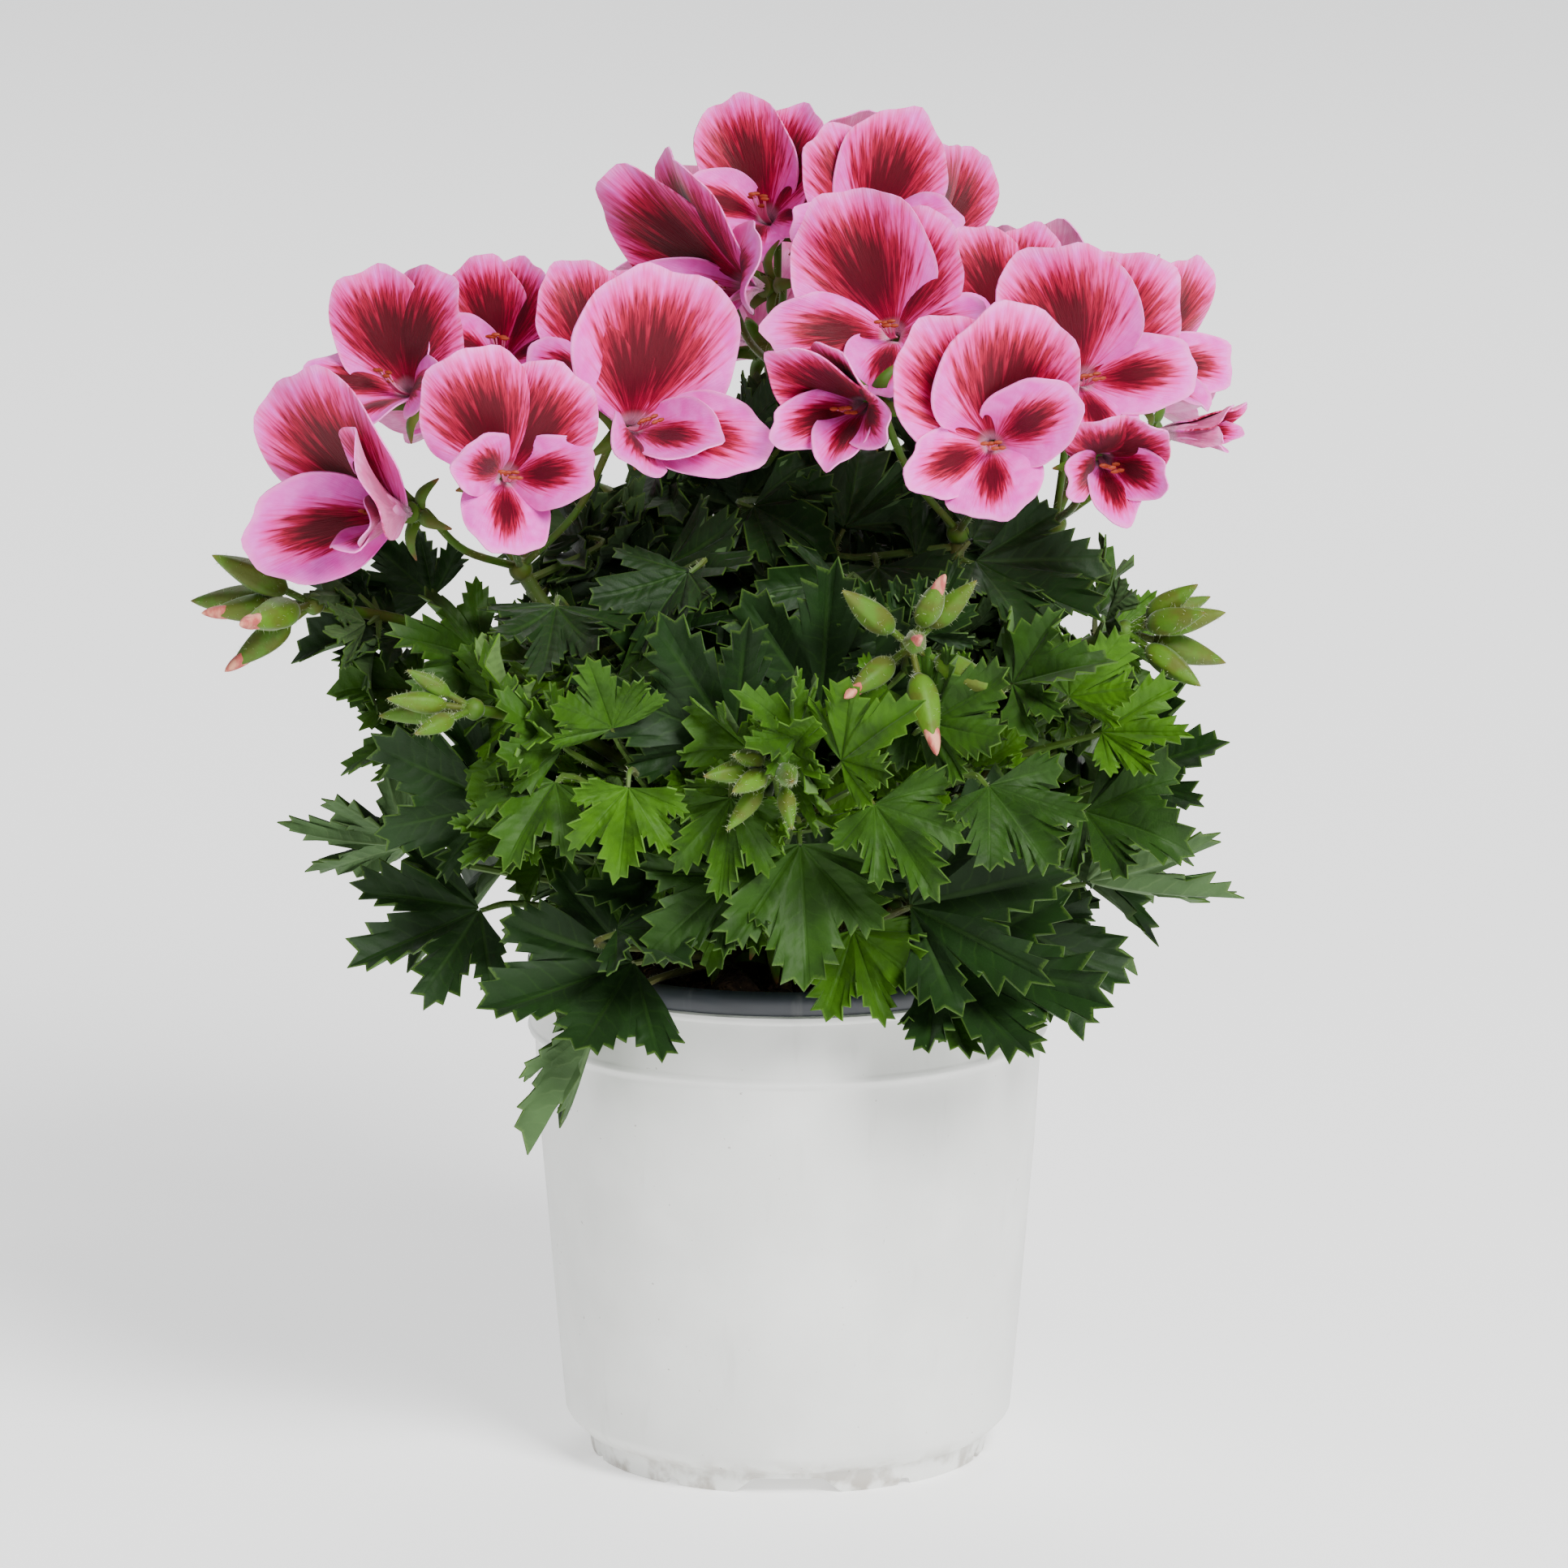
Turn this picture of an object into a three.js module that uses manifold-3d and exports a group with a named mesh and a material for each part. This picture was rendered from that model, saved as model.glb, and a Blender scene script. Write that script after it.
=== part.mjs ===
// A regal pelargonium in its plastic nursery pot.
// Millimetres, +Z up. The origin is the centre of the pot's foot, on the surface that it stands on.
// The front, where the view is nearly level, is towards -Y, and +X is to the viewer's right.
// Twelve leafy stems stand in the compost. Five of them carry a head of flowers and six carry green buds.
// A leaf, a sepal or a petal is a thin blade, thick along its middle and sharp at its edge.

import * as THREE from "three";
import { mergeVertices } from "three/addons/utils/BufferGeometryUtils.js";
import Module from "manifold-3d";

const wasm = await Module();
wasm.setup();

// Driving dimensions of the pot.
const RIM_RADIUS = 65; // the white edge under the rolled lip
const POT_HEIGHT = 131.5;
const WALL = 1.3;
const FOOT_RADIUS = 49.2;
const FOOT_HEIGHT = 5.8;
const FLOOR_TOP = 6.2;
const COLLAR = 105.8; // where the tapering side ends and the collar stands out
const LIP = 125.6; // where the collar ends and the rolled lip starts
const POT_SIDES = 28;

// Driving dimensions of the compost and of the plant.
const SOIL_EDGE = 121;
const SOIL_CENTRE = 124.5;
const STEM_FOOT = 96; // how deep the stems stand in the compost
const STEM_RADIUS = 3.2;
const STEM_CIRCLE = 18; // the outer stems' feet stand on a circle of this radius
const CLEARANCE = 0.35; // between pieces that touch
const UP = new THREE.Vector3(0, 0, 1);

// The leafy stems: azimuth of the crown (0 is the front, 90 the right), its distance from the axis and its height.
const STEMS = {
  front: { azimuth: -6, reach: 62, height: 176 },
  front_right: { azimuth: 27, reach: 58, height: 186 },
  right_front: { azimuth: 56, reach: 40, height: 206, hub: "right" },
  right: { azimuth: 88, reach: 58, height: 190, hub: "far_right" },
  right_back: { azimuth: 122, reach: 60, height: 186 },
  back_right: { azimuth: 152, reach: 52, height: 196, hub: "back" },
  back_left: { azimuth: 188, reach: 60, height: 184 },
  left_back: { azimuth: 224, reach: 58, height: 190 },
  left: { azimuth: 262, reach: 62, height: 188 },
  left_front: { azimuth: 294, reach: 48, height: 204, hub: "left" },
  front_left: { azimuth: 326, reach: 60, height: 182 },
  centre: { azimuth: 200, reach: 12, height: 224, hub: "top" },
};

// The heads: where the stalks of a head's flowers part, and the stem that carries them.
const HUBS = {
  left: [-66, -26, 230],
  right: [42, -30, 240],
  far_right: [66, -14, 239],
  top: [-3, 14, 272],
  back: [22, 52, 240],
};

// The flowers: head, throat, the way the flower faces (yaw from the front to the right, pitch), how far it is
// turned about that, the length of its upper petals, and how far it is open.
const FLOWERS = {
  left_front: ["left", [-69, -66, 262], 6, 14, 4, 35, 1],
  left_inner: ["left", [-38, -54, 272], 24, 18, -14, 38, 1],
  left_outer: ["left", [-96, -48, 249], -38, 8, -4, 41, 0.95],
  left_rear: ["left", [-94, -8, 271], -40, 32, 0, 31, 0.9],
  left_top: ["left", [-71, 4, 276], -6, 42, 0, 26, 0.75],
  left_peak: ["left", [-48, -10, 276], 14, 34, 4, 28, 0.9],
  left_back: ["left", [-78, 36, 255], -140, 22, 0, 33, 0.95],
  right_front: ["right", [50, -70, 271], 0, 10, -4, 38, 1],
  right_inner: ["right", [18, -57, 278], -22, 4, -6, 34, 0.5],
  right_upper: ["right", [26, -30, 290], -10, 24, -6, 35, 1],
  right_peak: ["right", [54, -8, 286], 8, 40, 0, 27, 0.85],
  right_outer: ["far_right", [72, -38, 280], 14, 16, -6, 36, 1],
  right_cup: ["far_right", [77, -60, 265], 12, 0, 0, 31, 0.42],
  right_side: ["far_right", [86, -2, 276], 58, 22, 10, 31, 0.9],
  right_bud: ["far_right", [96, -28, 265], 66, 6, 0, 18, 0.12],
  right_back: ["far_right", [80, 30, 263], 120, 20, 0, 33, 0.95],
  top_left: ["top", [-10, -6, 297], -52, 6, -32, 40, 0.9],
  top_peak: ["top", [-5, 20, 309], -16, 38, 0, 30, 0.9],
  top_rear: ["top", [12, 46, 303], 170, 44, 0, 30, 0.95],
  top_right: ["top", [20, 2, 307], 10, 38, 2, 31, 1],
  top_side: ["top", [34, 27, 297], 80, 20, 8, 30, 0.9],
  top_far: ["top", [-22, 42, 289], -132, 20, 0, 28, 0.95],
  back_low: ["back", [30, 88, 260], 172, 12, 4, 36, 1],
  back_left: ["back", [-8, 82, 266], -164, 18, -8, 33, 0.95],
  back_right: ["back", [59, 68, 267], 138, 22, 6, 32, 0.9],
};

// The bunches of buds: the stem that carries one, where the buds part, the way the bunch points, how many buds
// there are, their length, and the angle of the cone that they fill.
const BUD_BUNCHES = {
  left: ["left", [-117, -34, 223], [-1, -0.2, -0.15], 5, 24, 42],
  middle: ["front_right", [30, -86, 224], [0.1, -1, 0.2], 7, 20, 74],
  right: ["right", [83, -42, 218], [1, -0.3, 0.15], 6, 19, 44],
  young: ["front", [-2, -94, 196], [-0.5, -0.9, -0.2], 6, 15, 48],
  young_left: ["front_left", [-77, -76, 206], [-1, -0.4, 0.1], 4, 15, 34],
  back: ["back_left", [-30, 84, 212], [-0.3, 1, 0.6], 6, 17, 50],
};

// The leaves that show best, each with where its stalk meets the blade, the way its middle rib points, the way its
// upper face looks, the length of the middle rib, and the stem that carries it.
const LEAVES = [
  [[-46, -62, 126], [-0.45, -0.35, -1], [-1, 0.4, 0.3], 38, "front_left"],
  [[-38, -62, 139], [-1, -0.5, -0.3], [-0.1, -1, 0.6], 44, "front_left"],
  [[-26, -56, 159], [-0.8, -0.3, 0.5], [0.1, -1, 0.5], 38, "front_left"],
  [[-76, -48, 149], [-1, -0.3, -0.45], [0, -1, 0.9], 40, "left_front"],
  [[-94, -22, 159], [-1, -0.1, 0.05], [0.1, 0.8, 0.6], 30, "left"],
  [[-71, -58, 178], [-0.9, -0.3, 0.5], [-0.3, -1, 0.3], 38, "left_front"],
  [[-90, -26, 199], [-1, -0.1, 0.1], [0, -0.6, 1], 24, "left"],
  [[-87, -36, 188], [-1, -0.2, -0.05], [0, -0.6, 1], 23, "left_front"],
  [[-96, -22, 212], [-1, -0.1, -0.1], [0, -0.6, 1], 25, "left"],
  [[-88, -8, 219], [-0.7, -0.1, 0.7], [-0.5, -1, 0.3], 27, "left"],
  [[-13, -78, 198], [-0.6, -0.2, 1], [-0.3, -1, 0.1], 40, "front"],
  [[8, -72, 205], [0.05, -0.2, 1], [0, -1, 0.2], 42, "front"],
  [[2, -97, 204], [-0.7, -0.5, 0.7], [0, -1, 0.6], 22, "front"],
  [[13, -98, 198], [0.75, -0.4, 0.65], [-0.2, -1, 0.5], 26, "front"],
  [[34, -91, 206], [0.85, -0.4, 0.55], [0.1, -1, 0.5], 27, "front_right"],
  [[21, -97, 187], [0.6, -0.4, -0.8], [0.1, -1, 0.7], 27, "front"],
  [[49, -86, 189], [0.6, -0.5, -0.75], [0.2, -1, 0.8], 28, "front_right"],
  [[3, -84, 174], [0.05, -0.4, -0.9], [0.1, -1, 0.4], 36, "front"],
  [[30, -70, 155], [1, -0.35, 0.3], [0, -1, 0.5], 48, "front_right"],
  [[36, -66, 141], [1, -0.4, -0.15], [0, -1, 0.7], 46, "right_front"],
  [[36, -66, 135], [0.8, -0.6, -0.3], [0, -0.8, 0.9], 30, "front_right"],
  [[74, -22, 150], [1, -0.15, -0.25], [-0.1, 0.5, 0.8], 40, "right"],
  [[81, -38, 181], [1, -0.2, 0.3], [0, -1, 0.7], 33, "right"],
  [[73, -58, 176], [0.9, -0.4, -0.2], [0.2, -1, 0.6], 30, "right_front"],
  [[-43, -84, 203], [-0.3, -0.25, 0.9], [0, -1, 0.3], 23, "front_left"],
  [[-39, -92, 190], [-0.1, -0.4, -0.9], [0.1, -1, 0.6], 24, "front_left"],
  [[-67, -76, 176], [-0.6, -0.5, -0.4], [0, -1, 0.8], 20, "front_left"],
  [[-42, -74, 150], [1, -0.4, 0.1], [0, -0.6, 1], 34, "front_left"],
  [[46, -44, 236], [0.9, -0.4, -0.5], [0.3, -0.6, 0.9], 36, "right_front"],
  [[22, -42, 234], [0.1, -0.7, -0.6], [0, -1, 0.8], 33, "right_front"],
  [[-57, -50, 226], [-0.1, -0.7, -0.5], [0, -1, 0.8], 30, "left_front"],
  [[55, -70, 211], [0.8, -0.4, 0.3], [0.1, -1, 0.6], 27, "right_front"],
  [[69, -62, 206], [0.5, -0.4, 0.7], [0.2, -1, 0.4], 23, "right_front"],
  [[77, -58, 196], [0.9, -0.3, 0.05], [0.1, -1, 0.8], 24, "right_front"],
  [[-75, -48, 212], [-0.6, -0.5, 0.3], [-0.2, -1, 0.6], 29, "left_front"],
  [[-57, -82, 189], [-0.4, -0.6, -0.5], [-0.2, -1, 0.7], 25, "front_left"],
  [[-55, -82, 198], [-0.7, -0.4, 0.6], [-0.2, -1, 0.4], 24, "front_left"],
  [[-14, -90, 187], [-0.1, -0.4, -0.9], [0.1, -1, 0.5], 25, "front"],
  [[-12, -82, 166], [-0.8, -0.4, -0.6], [0, -1, 0.6], 30, "front"],
  [[16, -70, 149], [0.3, -0.5, -0.9], [0, -1, 0.5], 28, "front"],
  [[8, -50, 159], [0.3, -0.2, 0.9], [0, -1, 0.3], 36, "front"],
  [[-30, -40, 195], [-0.4, -0.1, 1], [0, -1, 0.2], 38, "centre"],
  [[20, -38, 189], [0.4, -0.1, 1], [0, -1, 0.2], 38, "centre"],
  [[-44, -50, 179], [-0.8, -0.3, 0.4], [-0.1, -1, 0.4], 34, "left_front"],
];

// The rest of the foliage is placed by rule, in rings of leaves over the dome: the ring's height and radius, how
// many leaves it has and their size, how much they look up for each part outwards, how far their ribs may swing
// from pointing down the slope, and the azimuths that the ring starts at and sweeps.
const DOME_RINGS = [
  { height: 146, reach: 62, leaves: 10, size: 42, lift: 0.9, swing: 60, start: 50, sweep: 300 },
  { height: 166, reach: 70, leaves: 12, size: 40, lift: 0.7, swing: 90, start: 23, sweep: 360 },
  { height: 187, reach: 72, leaves: 13, size: 38, lift: 0.6, swing: 110, start: 5, sweep: 360 },
  { height: 206, reach: 62, leaves: 12, size: 36, lift: 0.7, swing: 110, start: 17, sweep: 360 },
  { height: 222, reach: 42, leaves: 8, size: 33, lift: 0.9, swing: 130, start: 0, sweep: 360 },
  { height: 234, reach: 20, leaves: 4, size: 32, lift: 1.4, swing: 180, start: 30, sweep: 360 },
];

const rad = THREE.MathUtils.degToRad;
const vec = (list) => new THREE.Vector3(...list);

// A repeatable number from 0 to 1 for the nth draw.
function draw(n) {
  const s = Math.sin(n * 12.9898 + 4.1414) * 43758.5453;
  return s - Math.floor(s);
}

// The level direction at an azimuth, 0 being the front and 90 the right.
function outward(azimuth) {
  return new THREE.Vector3(Math.sin(rad(azimuth)), -Math.cos(rad(azimuth)), 0);
}

// Solids, and joining them.
function solidOf(geometry) {
  const plain = geometry.index ? geometry.toNonIndexed() : geometry.clone();
  plain.deleteAttribute("normal");
  plain.deleteAttribute("uv");
  const merged = mergeVertices(plain, 1e-4);
  return new wasm.Manifold(
    new wasm.Mesh({
      numProp: 3,
      vertProperties: merged.attributes.position.array,
      triVerts: new Uint32Array(merged.index.array),
    }),
  );
}

function closedBody(points, faces) {
  const geometry = new THREE.BufferGeometry().setFromPoints(points);
  geometry.setIndex(faces.flat());
  const solid = solidOf(geometry);
  if (solid.volume() > 0) return solid;
  geometry.setIndex(faces.flatMap(([a, b, c]) => [a, c, b]));
  return solidOf(geometry);
}

const join = (solids) => solids.reduce((all, solid) => all.add(solid));

function largestBody(solid) {
  const bodies = solid.decompose();
  return bodies.reduce((best, body) => (body.volume() > best.volume() ? body : best));
}

// A stalk: rings of a few sides along a curve, tapering from one radius to the other, with a point at each end.
function stalk(points, startRadius, endRadius, sides, steps, grow = 0) {
  const curve = new THREE.CatmullRomCurve3(points);
  const frames = curve.computeFrenetFrames(steps, false);
  const vertices = [];
  for (let i = 0; i <= steps; i++) {
    const centre = curve.getPoint(i / steps);
    const radius = THREE.MathUtils.lerp(startRadius, endRadius, i / steps) + grow;
    for (let j = 0; j < sides; j++) {
      const angle = (j / sides) * 2 * Math.PI;
      vertices.push(
        centre
          .clone()
          .addScaledVector(frames.normals[i], radius * Math.cos(angle))
          .addScaledVector(frames.binormals[i], radius * Math.sin(angle)),
      );
    }
  }
  const faces = [];
  for (let i = 0; i < steps; i++)
    for (let j = 0; j < sides; j++) {
      const [a, b] = [i * sides + j, i * sides + ((j + 1) % sides)];
      faces.push([a, b, b + sides], [a, b + sides, a + sides]);
    }
  for (let j = 1; j < sides - 1; j++) {
    faces.push([0, j + 1, j]);
    faces.push([steps * sides, steps * sides + j, steps * sides + j + 1]);
  }
  return closedBody(vertices, faces);
}

// The leaf's outline: a fan of five pointed lobes with a tooth on either side of each tip, shorter towards the
// stalk. Each point has its place within its lobe and its share of the middle rib's length.
const LOBE_STEP = 35;
const LEAF_HALF_ANGLE = 88;
const LARGE_LEAF = 26;
const LOBE_POINTS = [
  [-0.5, 0.7],
  [-0.2, 0.92],
  [0.02, 1],
  [0.24, 0.86],
];
const SMALL_LOBE_POINTS = [
  [-0.5, 0.68],
  [0, 1],
];

function leafOutline(size) {
  const pattern = size < LARGE_LEAF ? SMALL_LOBE_POINTS : LOBE_POINTS;
  const points = [];
  for (let lobe = -2; lobe <= 2; lobe++)
    for (const [place, share] of pattern) points.push([(lobe + place) * LOBE_STEP, share]);
  points.push([LEAF_HALF_ANGLE, 0.7]);
  return points.map(([angle, share]) => [angle, share * (1 - 0.28 * (Math.abs(angle) / LEAF_HALF_ANGLE) ** 1.5)]);
}

// Height of the blade over its flat plane, as a share of the middle rib: a shallow cup, and pleats that rise
// between the lobes.
function leafHeight(angle, share) {
  return 0.16 * share ** 2 - 0.035 * Math.cos((rad(angle) * 360) / LOBE_STEP) * share;
}

function leafFrame(rib, face) {
  const along = vec(rib).normalize();
  const normal = vec(face).addScaledVector(along, -vec(face).dot(along)).normalize();
  const side = along.clone().cross(normal);
  return { along, normal, side };
}

// The edge of a leaf's blade, pushed out by grow for the room that the leaf needs.
function leafEdge(leaf, grow, lift) {
  const { along, normal, side } = leaf.frame;
  return leafOutline(leaf.size).map(([angle, share]) => {
    const reach = leaf.size * share + grow;
    return leaf.joint
      .clone()
      .addScaledVector(along, reach * Math.cos(rad(angle)))
      .addScaledVector(side, reach * Math.sin(rad(angle)))
      .addScaledVector(normal, leaf.size * leafHeight(angle, share) + lift);
  });
}

// A leaf is one body: a three-sided stalk whose last ring lies in the notch of the blade, and two fans of
// triangles from there to the toothed edge, one for each face.
function leafBody(leaf, curve, grow = 0) {
  const { along, normal, side } = leaf.frame;
  const half = (leaf.size < LARGE_LEAF ? 0.7 : 1) + grow;
  const radius = 1.1 + grow;
  const upperEdge = leafEdge(leaf, grow, grow);
  const lowerEdge = grow ? leafEdge(leaf, grow, -grow) : [];
  const path = leafStalkPath(leaf, curve);
  const vertices = [];
  let across = side;
  const rings = [];
  for (let i = path.length - 2; i >= 0; i--) {
    const run = path[i + 1].clone().sub(path[i]).normalize();
    across = across.clone().addScaledVector(run, -across.dot(run)).normalize();
    const under = run.clone().cross(across);
    rings.unshift([
      path[i].clone().addScaledVector(across, -radius).addScaledVector(under, -0.5 * radius),
      path[i].clone().addScaledVector(across, radius).addScaledVector(under, -0.5 * radius),
      path[i].clone().addScaledVector(under, radius),
    ]);
  }
  rings.push([
    leaf.joint.clone().addScaledVector(side, -radius),
    leaf.joint.clone().addScaledVector(side, radius),
    leaf.joint.clone().addScaledVector(normal, -half),
  ]);
  for (const ring of rings) vertices.push(...ring);
  const faces = [[0, 1, 2]];
  for (let i = 0; i < rings.length - 1; i++)
    for (let j = 0; j < 3; j++) {
      const [a, b] = [3 * i + j, 3 * i + ((j + 1) % 3)];
      faces.push([a, a + 3, b + 3], [a, b + 3, b]);
    }
  const last = vertices.length - 3;
  const [left, right, under] = [last, last + 1, last + 2];
  const top = vertices.length;
  vertices.push(leaf.joint.clone().addScaledVector(normal, half), ...upperEdge, ...lowerEdge);
  const count = upperEdge.length;
  const upper = (k) => (k < 0 ? left : k < count ? top + 1 + k : right);
  const lower = (k) => (grow && k >= 0 && k < count ? upper(k) + count : upper(k));
  faces.push([top, right, left]);
  for (let k = -1; k < count; k++) {
    faces.push([top, upper(k), upper(k + 1)]);
    faces.push([under, lower(k + 1), lower(k)]);
    if (grow && k >= 0) faces.push([upper(k + 1), upper(k), lower(k)]);
    if (grow && k < count - 1) faces.push([upper(k + 1), lower(k), lower(k + 1)]);
  }
  return closedBody(vertices, faces);
}

// What a leaf takes up, for keeping it clear of others: its blade as a flat disc, and its stalk as two straight runs.
function withRoom(leaf) {
  const middle = leaf.joint.clone().addScaledVector(leaf.frame.along, 0.4 * leaf.size);
  return { ...leaf, middle, radius: 0.66 * leaf.size, path: leafStalkPath(leaf, stemCurve(leaf.stem)) };
}

// The length on which two discs cross.
function discsCross(a, b) {
  const line = a.frame.normal.clone().cross(b.frame.normal);
  if (line.length() < 0.02) return 0;
  line.normalize();
  const walk = line.clone().cross(a.frame.normal);
  const step = b.middle.clone().sub(a.middle).dot(b.frame.normal) / walk.dot(b.frame.normal);
  const foot = a.middle.clone().addScaledVector(walk, step);
  const towards = b.middle.clone().sub(foot);
  const shift = towards.dot(line);
  const halfA = Math.sqrt(Math.max(0, a.radius ** 2 - step ** 2));
  const halfB = Math.sqrt(Math.max(0, b.radius ** 2 - towards.lengthSq() + shift ** 2));
  if (halfA === 0 || halfB === 0) return 0;
  return Math.max(0, Math.min(halfA, shift + halfB) - Math.max(-halfA, shift - halfB));
}

// Whether a leaf's stalk runs through another leaf's disc.
function stalkPierces(a, b) {
  return [0, 1].some((i) => {
    const before = a.path[i].clone().sub(b.middle).dot(b.frame.normal);
    const after = a.path[i + 1].clone().sub(b.middle).dot(b.frame.normal);
    if (before * after >= 0) return false;
    const point = a.path[i].clone().lerp(a.path[i + 1], before / (before - after));
    return point.distanceTo(b.middle) < b.radius;
  });
}

// Whether the stalks of leaves on different stems touch, tried at even steps along them.
const STALK_ROOM = 3;
const STALK_TRIES = [0, 0.125, 0.25, 0.375, 0.5, 0.625, 0.75, 0.875, 1];
function stalksTouch(a, b) {
  if (a.stem === b.stem) return false;
  const walk = (leaf) => STALK_TRIES.map((t) => leaf.path[0].clone().lerp(leaf.path[1], t));
  const other = walk(b);
  return walk(a).some((p) => other.some((q) => p.distanceTo(q) < STALK_ROOM));
}

// How much a leaf is in another's way, in millimetres.
const STALK_CLASH = 14;
const TOLERATED_CLASH = 8;
function clash(a, b) {
  if (a.joint.distanceTo(b.joint) > 110) return 0;
  const pierced = Number(stalkPierces(a, b)) + Number(stalkPierces(b, a)) + Number(stalksTouch(a, b));
  return discsCross(a, b) + STALK_CLASH * pierced;
}

// The leaf at a place of a ring, at its nth try: each try turns it and shifts it a little.
function ringLeaf(ring, place, seed, attempt) {
  const chance = (k) => draw(seed + 0.1 * k + 31 * attempt) - 0.5;
  const azimuth = ring.start + (place * ring.sweep) / ring.leaves + 20 * chance(1);
  const out = outward(azimuth);
  const joint = out
    .clone()
    .multiplyScalar(ring.reach * (1 + 0.24 * chance(2)))
    .setZ(ring.height + 14 * chance(3));
  const lift = ring.lift + 0.5 * chance(4);
  const face = out.clone().addScaledVector(UP, lift);
  const downhill = out.clone().multiplyScalar(lift).sub(UP).normalize();
  const swing = rad(2 * ring.swing * chance(5));
  const rib = downhill.multiplyScalar(Math.cos(swing)).addScaledVector(outward(azimuth + 90), Math.sin(swing));
  const facing = (name) => outward(STEMS[name].azimuth).dot(out);
  const carriers = Object.keys(STEMS).filter((name) => name !== "centre");
  const nearest = carriers.reduce((best, name) => (facing(name) > facing(best) ? name : best));
  const stem = ring.reach < 30 ? "centre" : nearest;
  const size = ring.size * (1 + 0.3 * chance(7));
  return withRoom({ joint, frame: leafFrame(rib.toArray(), face.toArray()), size, stem });
}

// Whether a leaf's stalk would bend too sharply on its way into the blade.
const SHARPEST_BEND = 0.3; // the least cosine between the stalk's two runs
function bendsSharply(leaf) {
  const [run, end] = [0, 1].map((i) => leaf.path[i + 1].clone().sub(leaf.path[i]).normalize());
  return run.dot(end) < SHARPEST_BEND;
}

// Every leaf of the plant. The listed ones come first, then each place of the rings takes the try that is least in
// the way of what is there, or stays empty.
const TRIES = 90;
function allLeaves() {
  const bearers = [
    ...Object.values(BUD_BUNCHES).map(([stem, place]) => ({ stem, path: bunchPath(stem, vec(place)) })),
    ...Object.keys(STEMS)
      .filter((stem) => STEMS[stem].hub)
      .map((stem) => ({ stem, path: headPath(stem) })),
  ];
  const pierced = (leaf) => bearers.filter((one) => one.stem !== leaf.stem && stalkPierces(one, leaf)).length;
  const found = LEAVES.map(([joint, rib, face, size, stem]) =>
    withRoom({ joint: vec(joint), frame: leafFrame(rib, face), size, stem }),
  );
  let seed = 607;
  for (const ring of DOME_RINGS)
    for (let place = 0; place < ring.leaves; place++) {
      seed += 1;
      let best = null;
      let least = TOLERATED_CLASH;
      for (let attempt = 0; attempt < TRIES; attempt++) {
        const leaf = ringLeaf(ring, place, seed, attempt);
        if (bendsSharply(leaf)) continue;
        const total = found.reduce((sum, other) => sum + clash(leaf, other), STALK_CLASH * pierced(leaf));
        if (total < least) [best, least] = [leaf, total];
      }
      if (best) found.push(best);
    }
  return found;
}

// A stem rises out of the compost near the axis and leans out to its crown.
function stemCurve(name) {
  const { azimuth, reach, height } = STEMS[name];
  const out = outward(azimuth);
  const at = (distance, z) => out.clone().multiplyScalar(distance).setZ(z);
  const foot = name === "centre" ? 0 : STEM_CIRCLE;
  return new THREE.CatmullRomCurve3([
    at(foot, STEM_FOOT),
    at(foot, SOIL_CENTRE),
    at((foot + reach) * 0.52, (SOIL_CENTRE + height) * 0.5 - 4),
    at(reach, height),
  ]);
}

// From a stem's crown to the hub of its head of flowers, and to the hub of a bunch of buds.
function headPath(name) {
  const crown = stemCurve(name).points.at(-1);
  const hub = vec(HUBS[STEMS[name].hub]);
  return [crown, crown.clone().lerp(hub, 0.5).addScaledVector(outward(STEMS[name].azimuth), 3), hub];
}

function bunchPath(name, hub) {
  const crown = stemCurve(name).points.at(-1);
  return [crown, crown.clone().lerp(hub, 0.5).addScaledVector(UP, 0.08 * crown.distanceTo(hub)), hub];
}

// The plain hole that a stem stands in: a little wider than the stem, which may lean out of it at the surface.
function stemHole(name) {
  const foot = stemCurve(name).getPoint(0);
  const depth = SOIL_CENTRE + 4 - foot.z;
  const hole = new THREE.CylinderGeometry(STEM_RADIUS + 1.4, STEM_RADIUS + 0.8, depth + CLEARANCE, 5);
  hole.rotateX(Math.PI / 2).translate(foot.x, foot.y, foot.z + 0.5 * depth - 0.5 * CLEARANCE);
  return solidOf(hole);
}

// A leaf's stalk leaves the stem below the leaf and bends into the blade from behind.
function leafStalkPath(leaf, curve) {
  const top = curve.points.at(-1).z;
  const share = THREE.MathUtils.clamp((leaf.joint.z - 18 - SOIL_CENTRE) / (top - SOIL_CENTRE), 0.1, 0.95);
  const start = curve.getPoint(0.34 + 0.64 * share);
  const { along, normal } = leaf.frame;
  const bend = leaf.joint
    .clone()
    .addScaledVector(along, -0.2 * leaf.size)
    .addScaledVector(normal, -0.12 * leaf.size);
  return [start, bend, leaf.joint];
}

// The frame of a flower: the axis that it faces along, and the way its upper petals point.
function flowerFrame(yaw, pitch, turn) {
  const axis = outward(yaw).multiplyScalar(Math.cos(rad(pitch))).addScaledVector(UP, Math.sin(rad(pitch)));
  const top = UP.clone().addScaledVector(axis, -UP.dot(axis)).normalize().applyAxisAngle(axis, rad(-turn));
  return { axis, top, side: axis.clone().cross(top) };
}

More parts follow.
